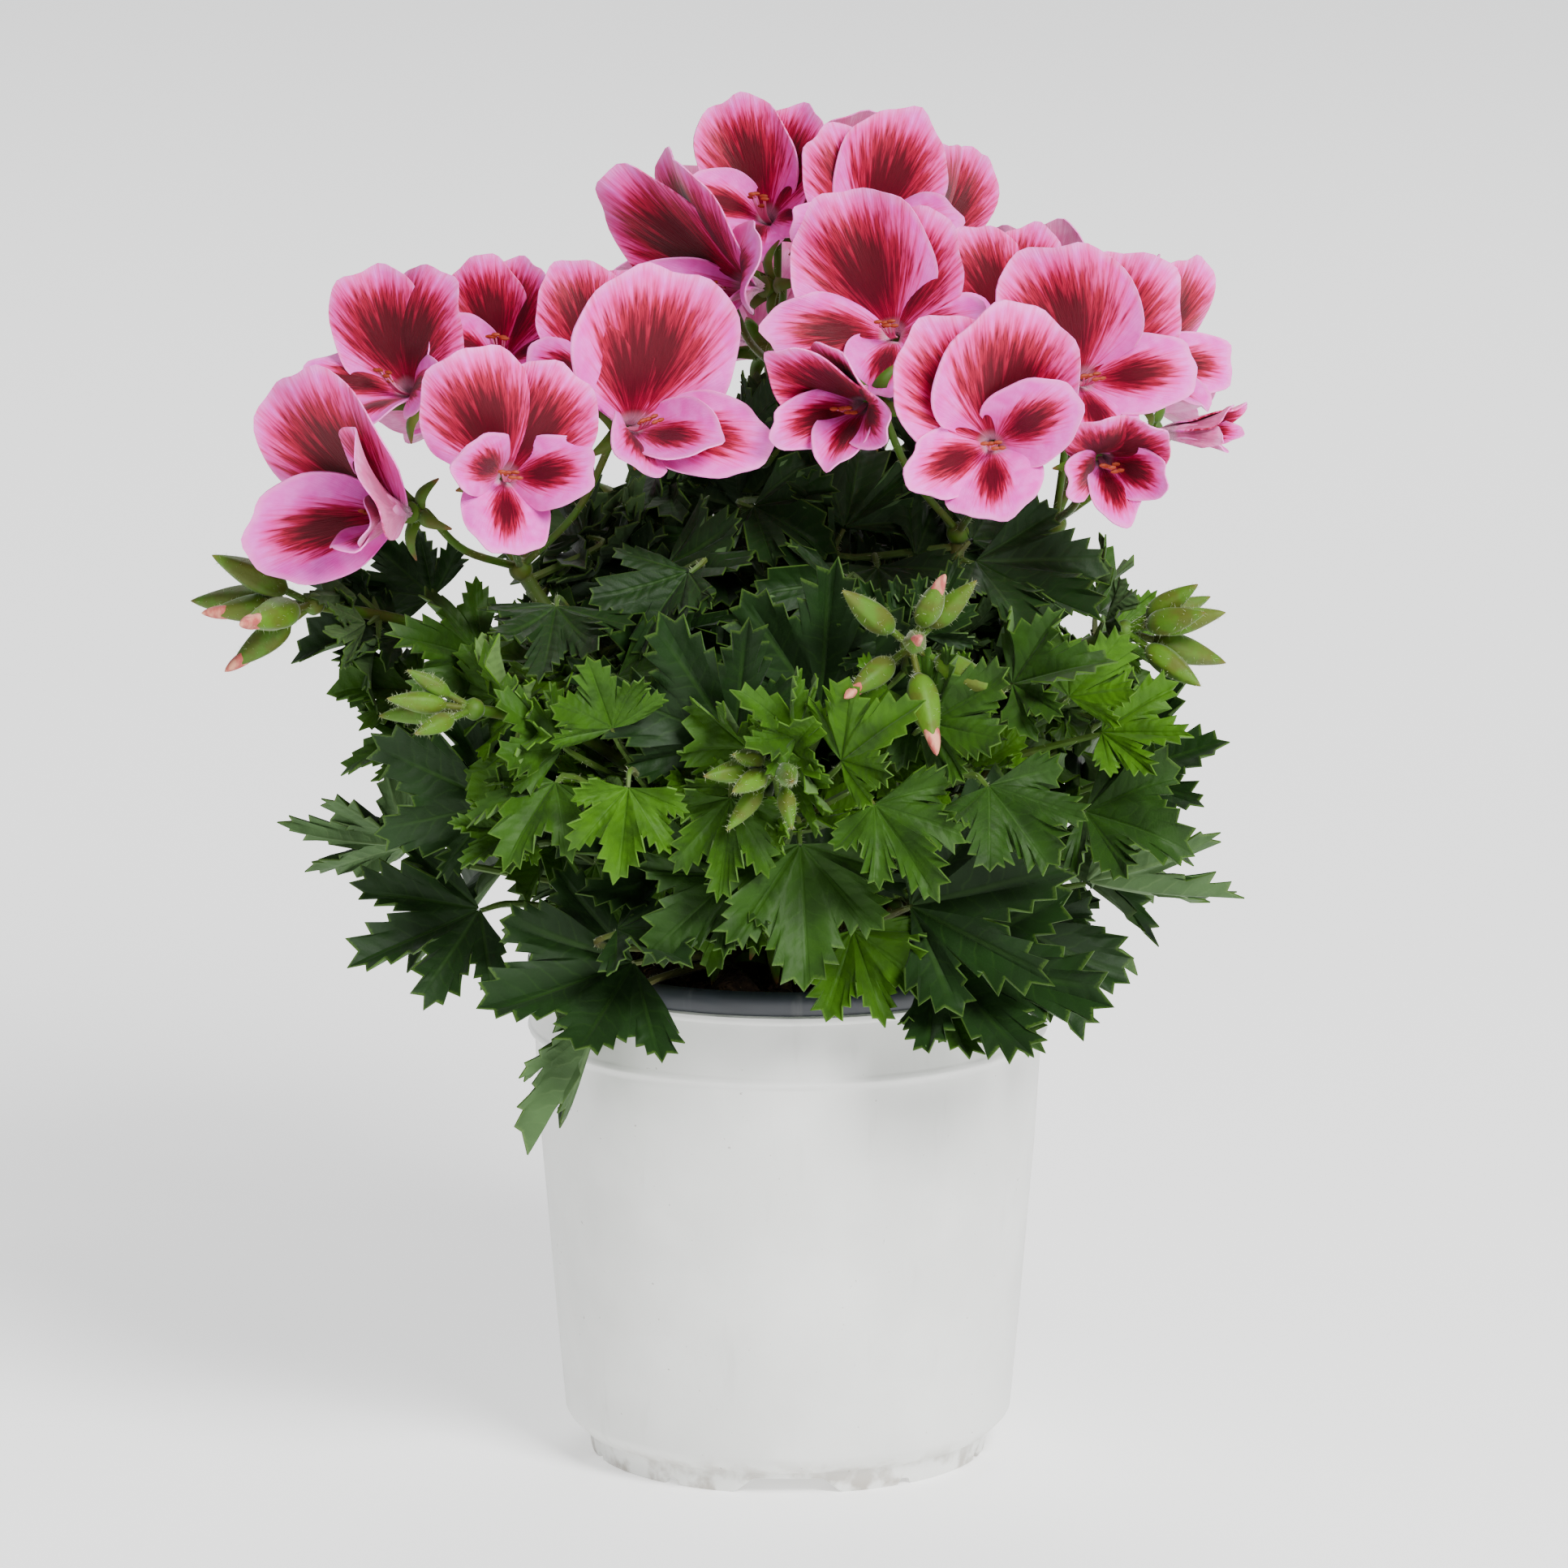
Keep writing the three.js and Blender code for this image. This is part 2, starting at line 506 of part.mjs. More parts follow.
// The five petals: angle from the top, length as a share of the upper petal's, width as a share of its own length,
// and how far it bends outwards compared with the upper ones.
const PETALS = [
  [-21, 1, 0.78, 1],
  [21, 1, 0.78, 1],
  [98, 0.82, 0.56, 0.86],
  [180, 0.72, 0.66, 0.72],
  [262, 0.82, 0.56, 0.86],
];
const PETAL_PARTINGS = [-64, 0, 60, 140, 220];
const PETAL_ROWS = [0.4, 0.74, 1];
const PETAL_HALVES = [0.36, 0.5, 0.27];
const THROAT_RADIUS = 2.4;
const NECK = 5; // from the throat back to the petals' lowest point in the calyx
const HALF_OPEN = 0.6; // petals of a flower less open than this meet edge to edge
const CURL = 0.22; // how much a petal's edges bend in towards the flower's axis

// The points of a petal beyond the throat: it leaves along the flower's axis and bends outwards, more so the more
// the flower is open, and one edge of it lies over its neighbour and the other under.
function petalPoints(flower, k) {
  const { axis, top, side } = flower.frame;
  const [angle, lengthShare, widthShare, bend] = PETALS[k];
  const out = top
    .clone()
    .multiplyScalar(Math.cos(rad(angle)))
    .addScaledVector(side, Math.sin(rad(angle)));
  const across = axis.clone().cross(out);
  const length = flower.size * lengthShare;
  const width = length * widthShare * (0.55 + 0.45 * flower.open);
  const flare = rad(10 + 64 * flower.open) * bend;
  let reach = THROAT_RADIUS * 0.8;
  let rise = 0;
  let before = 0;
  const reaches = [];
  const middle = PETAL_ROWS.map((v) => {
    const lean = flare * (0.55 + 0.6 * (v + before) * 0.5);
    reach += Math.sin(lean) * length * (v - before);
    rise += Math.cos(lean) * length * (v - before);
    before = v;
    reaches.push(reach);
    return flower.throat.clone().addScaledVector(out, reach).addScaledVector(axis, rise);
  });
  // Half of the petal's width at a row, on one side: near the throat it stays within its own fifth of the ring.
  const halfWidth = (i, sign) => {
    const parting = sign < 0 ? PETAL_PARTINGS[k] : PETAL_PARTINGS[(k + 1) % 5] + (k === 4 ? 360 : 0);
    const slope = 0.92 * Math.tan(rad(Math.abs(parting - angle)));
    const room = (slope * reaches[i]) / (1 + CURL * (1.6 - flower.open) * slope);
    const within = i === 0 || flower.open < HALF_OPEN;
    return within ? Math.min(PETAL_HALVES[i] * width, room) : PETAL_HALVES[i] * width;
  };
  const edge = (i, sign) => {
    const reachOut = halfWidth(i, sign);
    const curl = CURL * reachOut * (1.6 - flower.open);
    return middle[i]
      .clone()
      .addScaledVector(across, sign * reachOut)
      .addScaledVector(out, -curl)
      .addScaledVector(axis, 0.4 * curl - sign * 0.13 * reachOut);
  };
  const edges = [edge(0, -1), edge(1, -1), edge(2, -1), middle[2], edge(2, 1), edge(1, 1), edge(0, 1)];
  const normal = middle[1].clone().sub(middle[0]).cross(across).normalize();
  return { edges, spine: [middle[0], middle[1]], normal };
}

// A flower is one body: a ring of five partings between the petals, front and back, with the throat before it and
// the neck behind, and a petal from each fifth of the ring.
function flowerBody(flower, grow = 0) {
  const { axis, top, side } = flower.frame;
  const vertices = [
    flower.throat.clone().addScaledVector(axis, -0.4 + grow),
    flower.throat.clone().addScaledVector(axis, -NECK - grow),
  ];
  for (const sign of [1, -1])
    for (const angle of PETAL_PARTINGS)
      vertices.push(
        flower.throat
          .clone()
          .addScaledVector(top, (THROAT_RADIUS + grow) * Math.cos(rad(angle)))
          .addScaledVector(side, (THROAT_RADIUS + grow) * Math.sin(rad(angle)))
          .addScaledVector(axis, sign * (0.6 + grow)),
      );
  const faces = [];
  const turned = (list) => list.map(([a, b, c]) => [a, c, b]);
  for (let k = 0; k < 5; k++) {
    const { edges, spine, normal } = petalPoints(flower, k);
    const next = (k + 1) % 5;
    const [frontLeft, frontRight, backLeft, backRight] = [2 + k, 2 + next, 7 + k, 7 + next];
    faces.push([0, frontLeft, frontRight], [1, backRight, backLeft]);
    const middle = spine[1];
    const start = vertices.length;
    const layer = (lift) =>
      edges.map((p) => {
        const out = p.clone().sub(middle).normalize();
        return p.clone().addScaledVector(out, grow).addScaledVector(normal, lift);
      });
    vertices.push(...layer(grow));
    if (grow) vertices.push(...layer(-grow));
    const back = grow ? 7 : 0;
    const low = start + (grow ? 14 : 7);
    for (const lift of [0.6 + grow, -0.6 - grow])
      vertices.push(...spine.map((p) => p.clone().addScaledVector(normal, lift)));
    const face = (left, right, e, m) => [
      [left, e, m],
      [e, e + 1, m],
      [e + 1, m + 1, m],
      [e + 1, e + 2, m + 1],
      [e + 2, e + 3, m + 1],
      [e + 3, e + 4, m + 1],
      [e + 4, e + 5, m + 1],
      [e + 5, m, m + 1],
      [e + 5, e + 6, m],
      [e + 6, right, m],
      [right, left, m],
    ];
    faces.push(...face(frontLeft, frontRight, start, low));
    faces.push(...turned(face(backLeft, backRight, start + back, low + 2)));
    faces.push([frontLeft, backLeft, start + back], [frontRight, start + 6 + back, backRight]);
    if (grow) {
      faces.push([frontLeft, start + back, start], [frontRight, start + 6, start + 6 + back]);
      for (let e = start; e < start + 6; e++) faces.push([e, e + back, e + 1], [e + 1, e + back, e + 1 + back]);
    }
  }
  return closedBody(vertices, faces);
}

// Faces between two rings of points round the same line, which may differ in number: lower ring first.
function bridge(lower, lowerCount, upper, upperCount) {
  const faces = [];
  let i = 0;
  let j = 0;
  const at = (start, count, k) => start + (k % count);
  while (i < lowerCount || j < upperCount) {
    const stepLower = i < lowerCount && (i + 1) / lowerCount <= (j + 1) / upperCount;
    const [a, b] = [at(lower, lowerCount, i), at(upper, upperCount, j)];
    if (stepLower || j === upperCount) {
      faces.push([a, at(lower, lowerCount, i + 1), b]);
      i += 1;
    } else {
      faces.push([a, at(upper, upperCount, j + 1), b]);
      j += 1;
    }
  }
  return faces;
}

// A closed body from rings of points, each a list, with a flat end at the first ring and a point at the last one.
function ringedBody(rings, tip) {
  const starts = [];
  const vertices = [];
  for (const ring of rings) {
    starts.push(vertices.length);
    vertices.push(...ring);
  }
  const faces = [];
  for (let i = 0; i < rings.length - 1; i++)
    faces.push(...bridge(starts[i], rings[i].length, starts[i + 1], rings[i + 1].length));
  const [last, count] = [starts.at(-1), rings.at(-1).length];
  vertices.push(tip);
  for (let j = 0; j < count; j++) faces.push([last + j, last + ((j + 1) % count), vertices.length - 1]);
  for (let j = 1; j < rings[0].length - 1; j++) faces.push([0, j + 1, j]);
  return { vertices, faces };
}

// Points of a ring of so many sides round a centre, across a direction whose two normals are given.
const ringPoints = (centre, across, over, radius, sides) =>
  Array.from({ length: sides }, (_, j) =>
    centre
      .clone()
      .addScaledVector(across, radius * Math.cos((j / sides) * 2 * Math.PI))
      .addScaledVector(over, radius * Math.sin((j / sides) * 2 * Math.PI)),
  );

// The green parts of a flower are one body: its three-sided stalk from the head's hub, widening to a cup with five
// pointed sepals round it.
const SEPAL = 12;
function calyx(flower, hub, grow = 0) {
  const { axis, top, side } = flower.frame;
  const seat = flower.throat.clone().addScaledVector(axis, -NECK - CLEARANCE);
  const heel = seat.clone().addScaledVector(axis, -6);
  const start = hub.clone().addScaledVector(heel.clone().sub(hub).normalize(), STALK_START);
  const bend = start.clone().lerp(heel, 0.6).addScaledVector(UP, -0.12 * hub.distanceTo(heel));
  const lift = (rise) => seat.clone().addScaledVector(axis, rise);
  const square = (centre, ahead) => {
    const turn = new THREE.Quaternion().setFromUnitVectors(axis, ahead.clone().sub(centre).normalize());
    return ringPoints(centre, top.clone().applyQuaternion(turn), side.clone().applyQuaternion(turn), 1 + grow, 3);
  };
  const rings = [
    square(start, bend),
    square(bend, heel),
    ringPoints(heel, top, side, 1.1 + grow, 3),
    ringPoints(lift(-1.2 - grow), top, side, 2.4 + grow, 5),
    ringPoints(lift(grow), top, side, 2.6 + grow, 5),
  ];
  const { vertices, faces } = ringedBody(rings, lift(grow));
  const cup = vertices.length - 6;
  const under = cup - 5;
  // The faces between the cup's two rings give way to the sepals.
  const kept = faces.filter((face) => !(face.some((v) => v < cup) && face.some((v) => v >= cup)));
  for (let k = 0; k < 5; k++) {
    const next = (k + 1) % 5;
    const tip = vertices.length;
    const angle = rad(36 + 72 * k);
    vertices.push(
      lift(-2)
        .addScaledVector(top, (SEPAL + grow) * Math.cos(angle))
        .addScaledVector(side, (SEPAL + grow) * Math.sin(angle)),
    );
    kept.push([cup + k, tip, cup + next], [under + k, under + next, tip]);
    kept.push([cup + k, under + k, tip], [cup + next, tip, under + next]);
  }
  return closedBody(vertices, kept);
}

// A bud on its stalk: three sides at first, then five, fullest near the stalk, and a point at its far end.
function budOnStalk(root, direction, length, grow) {
  const across = direction
    .clone()
    .cross(Math.abs(direction.z) < 0.9 ? UP : new THREE.Vector3(1, 0, 0))
    .normalize();
  const over = direction.clone().cross(across);
  const ring = (distance, radius, sides) =>
    ringPoints(root.clone().addScaledVector(direction, distance), across, over, radius + grow, sides);
  const rings = [ring(0, 0.8, 3), ring(6, 1, 3), ring(6 + 0.35 * length, 0.19 * length, 5)];
  rings.push(ring(6 + 0.68 * length, 0.14 * length, 5));
  const { vertices, faces } = ringedBody(rings, root.clone().addScaledVector(direction, 6 + length + grow));
  return closedBody(vertices, faces);
}

// A knob where stalks part: each of them starts inside it, clear of the next one where they come out.
const KNOB_RADIUS = 4;
const STALK_START = 1.5;
function knob(centre, grow = 0) {
  return solidOf(new THREE.OctahedronGeometry(KNOB_RADIUS + grow).translate(centre.x, centre.y, centre.z));
}

// The buds of a bunch fan out from its hub: the first straight on, the others round the cone.
function budBunch(name, grow = 0) {
  const [stem, place, pointing, count, length, spread] = BUD_BUNCHES[name];
  const hub = vec(place);
  const axis = vec(pointing).normalize();
  const across = axis.clone().cross(UP).normalize();
  const parts = [stalk(bunchPath(stem, hub), 1.7, 1.5, 3, 2, grow), knob(hub, grow)];
  for (let k = 0; k < count; k++) {
    const lean = rad(k ? spread * (0.8 + 0.35 * draw(k + count)) : 6);
    const direction = axis.clone().applyAxisAngle(across, lean).applyAxisAngle(axis, rad((360 * k) / (count - 1)));
    const root = hub.clone().addScaledVector(direction, STALK_START);
    parts.push(budOnStalk(root, direction, length * (0.8 + 0.3 * draw(3 * k + length)), grow));
  }
  return parts;
}

// Everything green that grows from one stem.
function stemParts(name, grow = 0) {
  const curve = stemCurve(name);
  const head = STEMS[name].hub;
  const parts = [];
  if (head) {
    const [, bend, hub] = headPath(name);
    parts.push(stalk([...curve.points, bend, hub], STEM_RADIUS, 1.8, 5, 7, grow), knob(hub, grow));
    for (const flower of flowers.filter((one) => one.head === head)) parts.push(calyx(flower, hub, grow));
  } else parts.push(stalk(curve.points, STEM_RADIUS, 2, 5, 5, grow));
  for (const leaf of leaves.filter((one) => one.stem === name)) parts.push(leafBody(leaf, curve, grow));
  for (const bunch of Object.keys(BUD_BUNCHES))
    if (BUD_BUNCHES[bunch][0] === name) parts.push(...budBunch(bunch, grow));
  return parts;
}

// The pot: one thin wall turned round the axis, with a ribbed collar, a rolled lip and a foot ring.
function potBody() {
  const profile = [
    [0, 0],
    [14, 0],
    [16, FOOT_HEIGHT - 1.2],
    [FOOT_RADIUS - 1.6, FOOT_HEIGHT - 1.2],
    [FOOT_RADIUS - 1.6, 0],
    [FOOT_RADIUS, 0],
    [FOOT_RADIUS + 1, FOOT_HEIGHT],
    [FOOT_RADIUS + 6.2, 10.5],
    [RIM_RADIUS - 1.9, COLLAR],
    [RIM_RADIUS - 0.2, COLLAR + 2.4],
    [RIM_RADIUS - 0.8, LIP - 2],
    [RIM_RADIUS, LIP],
    [RIM_RADIUS - 0.5, POT_HEIGHT - 1.2],
    [RIM_RADIUS - 2.2, POT_HEIGHT],
    [RIM_RADIUS - 3.9, LIP],
    [RIM_RADIUS - 1.9 - WALL, COLLAR],
    [FOOT_RADIUS + 6.2 - WALL, 11.6],
    [FOOT_RADIUS - 0.2, FLOOR_TOP],
    [15.2, FLOOR_TOP],
    [12.8, 1.4],
    [0, 1.4],
  ].map(([r, z]) => new THREE.Vector2(r, z));
  const turned = new THREE.LatheGeometry(profile, POT_SIDES).rotateX(Math.PI / 2);
  let pot = solidOf(turned);
  if (pot.volume() < 0) throw new Error("the pot's profile runs the wrong way");
  const cut = (geometry, azimuth) => {
    const placed = geometry.rotateZ(rad(azimuth));
    pot = pot.subtract(solidOf(placed));
  };
  // Two wide notches with slanted sides, and round ones between them, let water out of the foot ring.
  for (const azimuth of [0, 180]) {
    const shape = new THREE.Shape([
      new THREE.Vector2(-13.4, -1),
      new THREE.Vector2(13.4, -1),
      new THREE.Vector2(8.4, 4),
      new THREE.Vector2(-8.4, 4),
    ]);
    const wedge = new THREE.ExtrudeGeometry(shape, { depth: 12, bevelEnabled: false });
    cut(wedge.rotateX(Math.PI / 2).translate(0, -FOOT_RADIUS + 7, 0), azimuth);
  }
  for (const azimuth of [36, 72, 108, 144, 216, 252, 288, 324]) {
    const drill = new THREE.CylinderGeometry(1.9, 1.9, 8, 6);
    cut(drill.translate(0, -FOOT_RADIUS + 0.5, 0), azimuth);
  }
  for (const azimuth of [18, 90, 162, 234, 306]) {
    const drill = new THREE.CylinderGeometry(4, 4, 8, 6).rotateX(Math.PI / 2);
    cut(drill.translate(0, -36, FLOOR_TOP - 1), azimuth);
  }
  return pot;
}

// The compost: a plug that fills the pot, with a crumbly top that is highest at the middle.
const COMPOST_SIDES = 16;
const COMPOST_TOP = [18, 34, 48];
const COMPOST_WALL = [
  [60.4, SOIL_EDGE],
  [52.6, 12.4],
  [48, FLOOR_TOP + CLEARANCE],
];

function compostBody() {
  const points = [new THREE.Vector3(0, 0, SOIL_CENTRE)];
  const ring = (radius, level) => {
    for (let j = 0; j < COMPOST_SIDES; j++) {
      const angle = (j / COMPOST_SIDES) * 2 * Math.PI;
      points.push(new THREE.Vector3(radius * Math.cos(angle), radius * Math.sin(angle), level(j)));
    }
  };
  COMPOST_TOP.forEach((radius, i) => {
    const level = THREE.MathUtils.lerp(SOIL_CENTRE, SOIL_EDGE, (radius / RIM_RADIUS) ** 2);
    ring(radius, (j) => level + 2.4 * (draw(i * COMPOST_SIDES + j) - 0.5));
  });
  for (const [radius, z] of COMPOST_WALL) ring(radius, () => z);
  points.push(new THREE.Vector3(0, 0, FLOOR_TOP + CLEARANCE));
  const faces = [];
  const next = (start, j) => start + ((j + 1) % COMPOST_SIDES);
  const rings = COMPOST_TOP.length + COMPOST_WALL.length;
  const lowest = 1 + (rings - 1) * COMPOST_SIDES;
  for (let j = 0; j < COMPOST_SIDES; j++) {
    faces.push([0, 1 + j, next(1, j)]);
    for (let i = 0; i < rings - 1; i++) {
      const [inner, outer] = [1 + i * COMPOST_SIDES, 1 + (i + 1) * COMPOST_SIDES];
      faces.push([inner + j, outer + j, next(outer, j)], [inner + j, next(outer, j), next(inner, j)]);
    }
    faces.push([points.length - 1, next(lowest, j), lowest + j]);
  }
  return closedBody(points, faces);
}

// Putting it together. Each piece is cut clear of the pieces that were placed before it, which touch it nowhere.
const COLOURS = {
  pot: new THREE.MeshStandardMaterial({ color: 0xdfe0da, roughness: 0.42 }),
  compost: new THREE.MeshStandardMaterial({ color: 0x2c2118, roughness: 0.95 }),
  foliage: new THREE.MeshStandardMaterial({ color: 0x3f7420, roughness: 0.6 }),
  petal: new THREE.MeshStandardMaterial({ color: 0xe58cc4, roughness: 0.55 }),
};
const plant = new THREE.Group();
plant.name = "potted_regal_pelargonium";

function addPiece(name, solid, material) {
  const { numProp, vertProperties, triVerts, numVert } = solid.getMesh();
  const positions = new Float32Array(3 * numVert);
  for (let i = 0; i < numVert; i++) positions.set(vertProperties.subarray(i * numProp, i * numProp + 3), 3 * i);
  const geometry = new THREE.BufferGeometry();
  geometry.setAttribute("position", new THREE.BufferAttribute(positions, 3));
  geometry.setIndex(new THREE.BufferAttribute(new Uint32Array(triVerts), 1));
  geometry.computeVertexNormals();
  const mesh = new THREE.Mesh(geometry, material);
  mesh.name = name;
  plant.add(mesh);
}

const flowers = Object.entries(FLOWERS).map(([name, [head, throat, yaw, pitch, turn, size, open]]) => ({
  name,
  head,
  throat: vec(throat),
  size,
  open,
  frame: flowerFrame(yaw, pitch, turn),
}));
const leaves = allLeaves();

const overlaps = (a, b) => {
  const [p, q] = [a.boundingBox(), b.boundingBox()];
  return [0, 1, 2].every((k) => p.min[k] < q.max[k] && q.min[k] < p.max[k]);
};
const placed = [];
function cutClear(solid) {
  let rest = solid;
  for (const other of placed) if (overlaps(rest, other)) rest = rest.subtract(other);
  return largestBody(rest);
}

const pot = potBody();
addPiece("pot", pot, COLOURS.pot);
placed.push(pot);

let compost = compostBody();
for (const name of Object.keys(STEMS)) compost = compost.subtract(stemHole(name));
addPiece("compost", largestBody(compost), COLOURS.compost);
placed.push(compost);

const LEAFY_ORDER = ["right_front", "left_front", "centre", "front", "front_right", "front_left", "right", "left"];
const stemNames = [...LEAFY_ORDER, ...Object.keys(STEMS).filter((name) => !LEAFY_ORDER.includes(name))];
for (const name of stemNames) {
  const body = cutClear(join(stemParts(name)));
  addPiece("leafy_stem_" + name, body, COLOURS.foliage);
  placed.push(join([body, ...stemParts(name, CLEARANCE)]));
}
for (const flower of flowers) {
  const body = cutClear(flowerBody(flower));
  addPiece("petals_" + flower.name, body, COLOURS.petal);
  placed.push(join([body, flowerBody(flower, CLEARANCE)]));
}

export default plant;
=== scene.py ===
"""A regal pelargonium in its plastic nursery pot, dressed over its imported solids.

The plan of the plant is a few short lists: stems, heads, flowers, bunches of buds and the leaves that show
best, with a rule for the rest. Every visible surface is a formula over a grid. A leaf is a fan, whose point
at angle a and share t of the way out lies at distance t R(a) from its stalk, R being the toothed outline,
and at a height that makes the cup, the pleats and the ruffled margin. A petal is a fan too, from its narrow
claw, wrapped over an arc whose lean grows along the petal. Stalks are rings along a curve, hairs are thin
spikes that stand on them, and the pot and the compost are profiles turned round the axis. Lengths are
millimetres until a mesh is made, with +Z up and the front towards -Y.
"""

# %% [markdown]
# The imported solids are the fixed frame that all pieces are fitted to, so they are loaded first. A plant
# could also be dressed by eye over its solids, but then leaves and flowers would drift away from what the
# collision model knows, so everything here is worked out in the frame's own coordinates.

# %% Load the frame
import math

import bpy
import numpy as np
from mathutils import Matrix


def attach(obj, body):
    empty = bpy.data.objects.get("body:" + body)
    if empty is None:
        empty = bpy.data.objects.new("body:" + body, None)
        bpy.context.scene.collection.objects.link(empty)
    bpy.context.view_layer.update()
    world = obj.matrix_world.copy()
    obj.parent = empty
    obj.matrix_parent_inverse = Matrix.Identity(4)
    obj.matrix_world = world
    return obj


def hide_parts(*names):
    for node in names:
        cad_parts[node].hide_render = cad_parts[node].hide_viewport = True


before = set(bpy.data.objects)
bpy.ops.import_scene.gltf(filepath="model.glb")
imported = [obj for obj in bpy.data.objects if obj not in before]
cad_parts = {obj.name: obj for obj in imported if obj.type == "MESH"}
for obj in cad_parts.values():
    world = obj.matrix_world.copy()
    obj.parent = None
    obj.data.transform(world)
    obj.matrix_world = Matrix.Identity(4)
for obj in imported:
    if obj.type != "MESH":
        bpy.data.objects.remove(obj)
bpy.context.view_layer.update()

# %% [markdown]
# The picture was taken from far away, a little above the plant, with a long lens, which shows the pot's rim
# as a flat ellipse and hardly any perspective. A camera that looks down by thirteen degrees from 5 m gives
# that view.

# %% Camera
MM = 0.001
CAMERA_PLACE = np.array([-1, -5000, 1325.2])
CAMERA_TARGET = np.array([-1, 0, 169.6])
FRAME_WIDTH = 390.1  # how much of the target's plane the frame shows
SENSOR_WIDTH = 36

distance = float(np.linalg.norm(CAMERA_TARGET - CAMERA_PLACE))
camera = bpy.data.objects.new("camera", bpy.data.cameras.new("camera"))
camera.data.sensor_width = SENSOR_WIDTH
camera.data.lens = SENSOR_WIDTH * distance / FRAME_WIDTH
camera.location = CAMERA_PLACE * MM
camera.rotation_euler = (math.acos((CAMERA_PLACE - CAMERA_TARGET)[2] / distance), 0, 0)
bpy.context.scene.collection.objects.link(camera)
bpy.context.scene.camera = camera
print("camera: lens", round(camera.data.lens, 1), "mm")

# %% [markdown]
# A plant of this kind is a handful of stems from one pot, each with its own leaves and a head of flowers or
# a bunch of buds. The lists below are the same as the solids' own, so each fine leaf and petal lies where
# its solid does. They could be read back from the solids, but a list says what the plant is like.

# %% The plan of the plant
UP = np.array([0.0, 0.0, 1.0])
SOIL_CENTRE = 124.5
STEM_FOOT = 96
STEM_CIRCLE = 18

# azimuth of the crown (0 is the front, 90 the right), distance from the axis, height, head of flowers
STEMS = {
    "front": (-6, 62, 176, None),
    "front_right": (27, 58, 186, None),
    "right_front": (56, 40, 206, "right"),
    "right": (88, 58, 190, "far_right"),
    "right_back": (122, 60, 186, None),
    "back_right": (152, 52, 196, "back"),
    "back_left": (188, 60, 184, None),
    "left_back": (224, 58, 190, None),
    "left": (262, 62, 188, None),
    "left_front": (294, 48, 204, "left"),
    "front_left": (326, 60, 182, None),
    "centre": (200, 12, 224, "top"),
}

# where the stalks of a head's flowers part
HUBS = {
    "left": (-66, -26, 230),
    "right": (42, -30, 240),
    "far_right": (66, -14, 239),
    "top": (-3, 14, 272),
    "back": (22, 52, 240),
}

# head, throat, yaw from the front to the right, pitch, turn, upper petals' length, how far it is open
FLOWERS = {
    "left_front": ("left", (-69, -66, 262), 6, 14, 4, 35, 1),
    "left_inner": ("left", (-38, -54, 272), 24, 18, -14, 38, 1),
    "left_outer": ("left", (-96, -48, 249), -38, 8, -4, 41, 0.95),
    "left_rear": ("left", (-94, -8, 271), -40, 32, 0, 31, 0.9),
    "left_top": ("left", (-71, 4, 276), -6, 42, 0, 26, 0.75),
    "left_peak": ("left", (-48, -10, 276), 14, 34, 4, 28, 0.9),
    "left_back": ("left", (-78, 36, 255), -140, 22, 0, 33, 0.95),
    "right_front": ("right", (50, -70, 271), 0, 10, -4, 38, 1),
    "right_inner": ("right", (18, -57, 278), -22, 4, -6, 34, 0.5),
    "right_upper": ("right", (26, -30, 290), -10, 24, -6, 35, 1),
    "right_peak": ("right", (54, -8, 286), 8, 40, 0, 27, 0.85),
    "right_outer": ("far_right", (72, -38, 280), 14, 16, -6, 36, 1),
    "right_cup": ("far_right", (77, -60, 265), 12, 0, 0, 31, 0.42),
    "right_side": ("far_right", (86, -2, 276), 58, 22, 10, 31, 0.9),
    "right_bud": ("far_right", (96, -28, 265), 66, 6, 0, 18, 0.12),
    "right_back": ("far_right", (80, 30, 263), 120, 20, 0, 33, 0.95),
    "top_left": ("top", (-10, -6, 297), -52, 6, -32, 40, 0.9),
    "top_peak": ("top", (-5, 20, 309), -16, 38, 0, 30, 0.9),
    "top_rear": ("top", (12, 46, 303), 170, 44, 0, 30, 0.95),
    "top_right": ("top", (20, 2, 307), 10, 38, 2, 31, 1),
    "top_side": ("top", (34, 27, 297), 80, 20, 8, 30, 0.9),
    "top_far": ("top", (-22, 42, 289), -132, 20, 0, 28, 0.95),
    "back_low": ("back", (30, 88, 260), 172, 12, 4, 36, 1),
    "back_left": ("back", (-8, 82, 266), -164, 18, -8, 33, 0.95),
    "back_right": ("back", (59, 68, 267), 138, 22, 6, 32, 0.9),
}

# stem, where the buds part, the way the bunch points, number of buds, their length, angle of their cone
BUD_BUNCHES = {
    "left": ("left", (-117, -34, 223), (-1, -0.2, -0.15), 5, 24, 42),
    "middle": ("front_right", (30, -86, 224), (0.1, -1, 0.2), 7, 20, 74),
    "right": ("right", (83, -42, 218), (1, -0.3, 0.15), 6, 19, 44),
    "young": ("front", (-2, -94, 196), (-0.5, -0.9, -0.2), 6, 15, 48),
    "young_left": ("front_left", (-77, -76, 206), (-1, -0.4, 0.1), 4, 15, 34),
    "back": ("back_left", (-30, 84, 212), (-0.3, 1, 0.6), 6, 17, 50),
}
print("plan:", len(STEMS), "stems,", len(FLOWERS), "flowers,", len(BUD_BUNCHES), "bunches of buds")

# %% [markdown]
# Leaves cover the plant's sides like tiles, and the ones that show best decide how it looks. So those are
# listed one by one, as they were read from the picture, and rings of places over the dome stand for the
# others. A rule alone would give a plant of this kind, but not this plant.

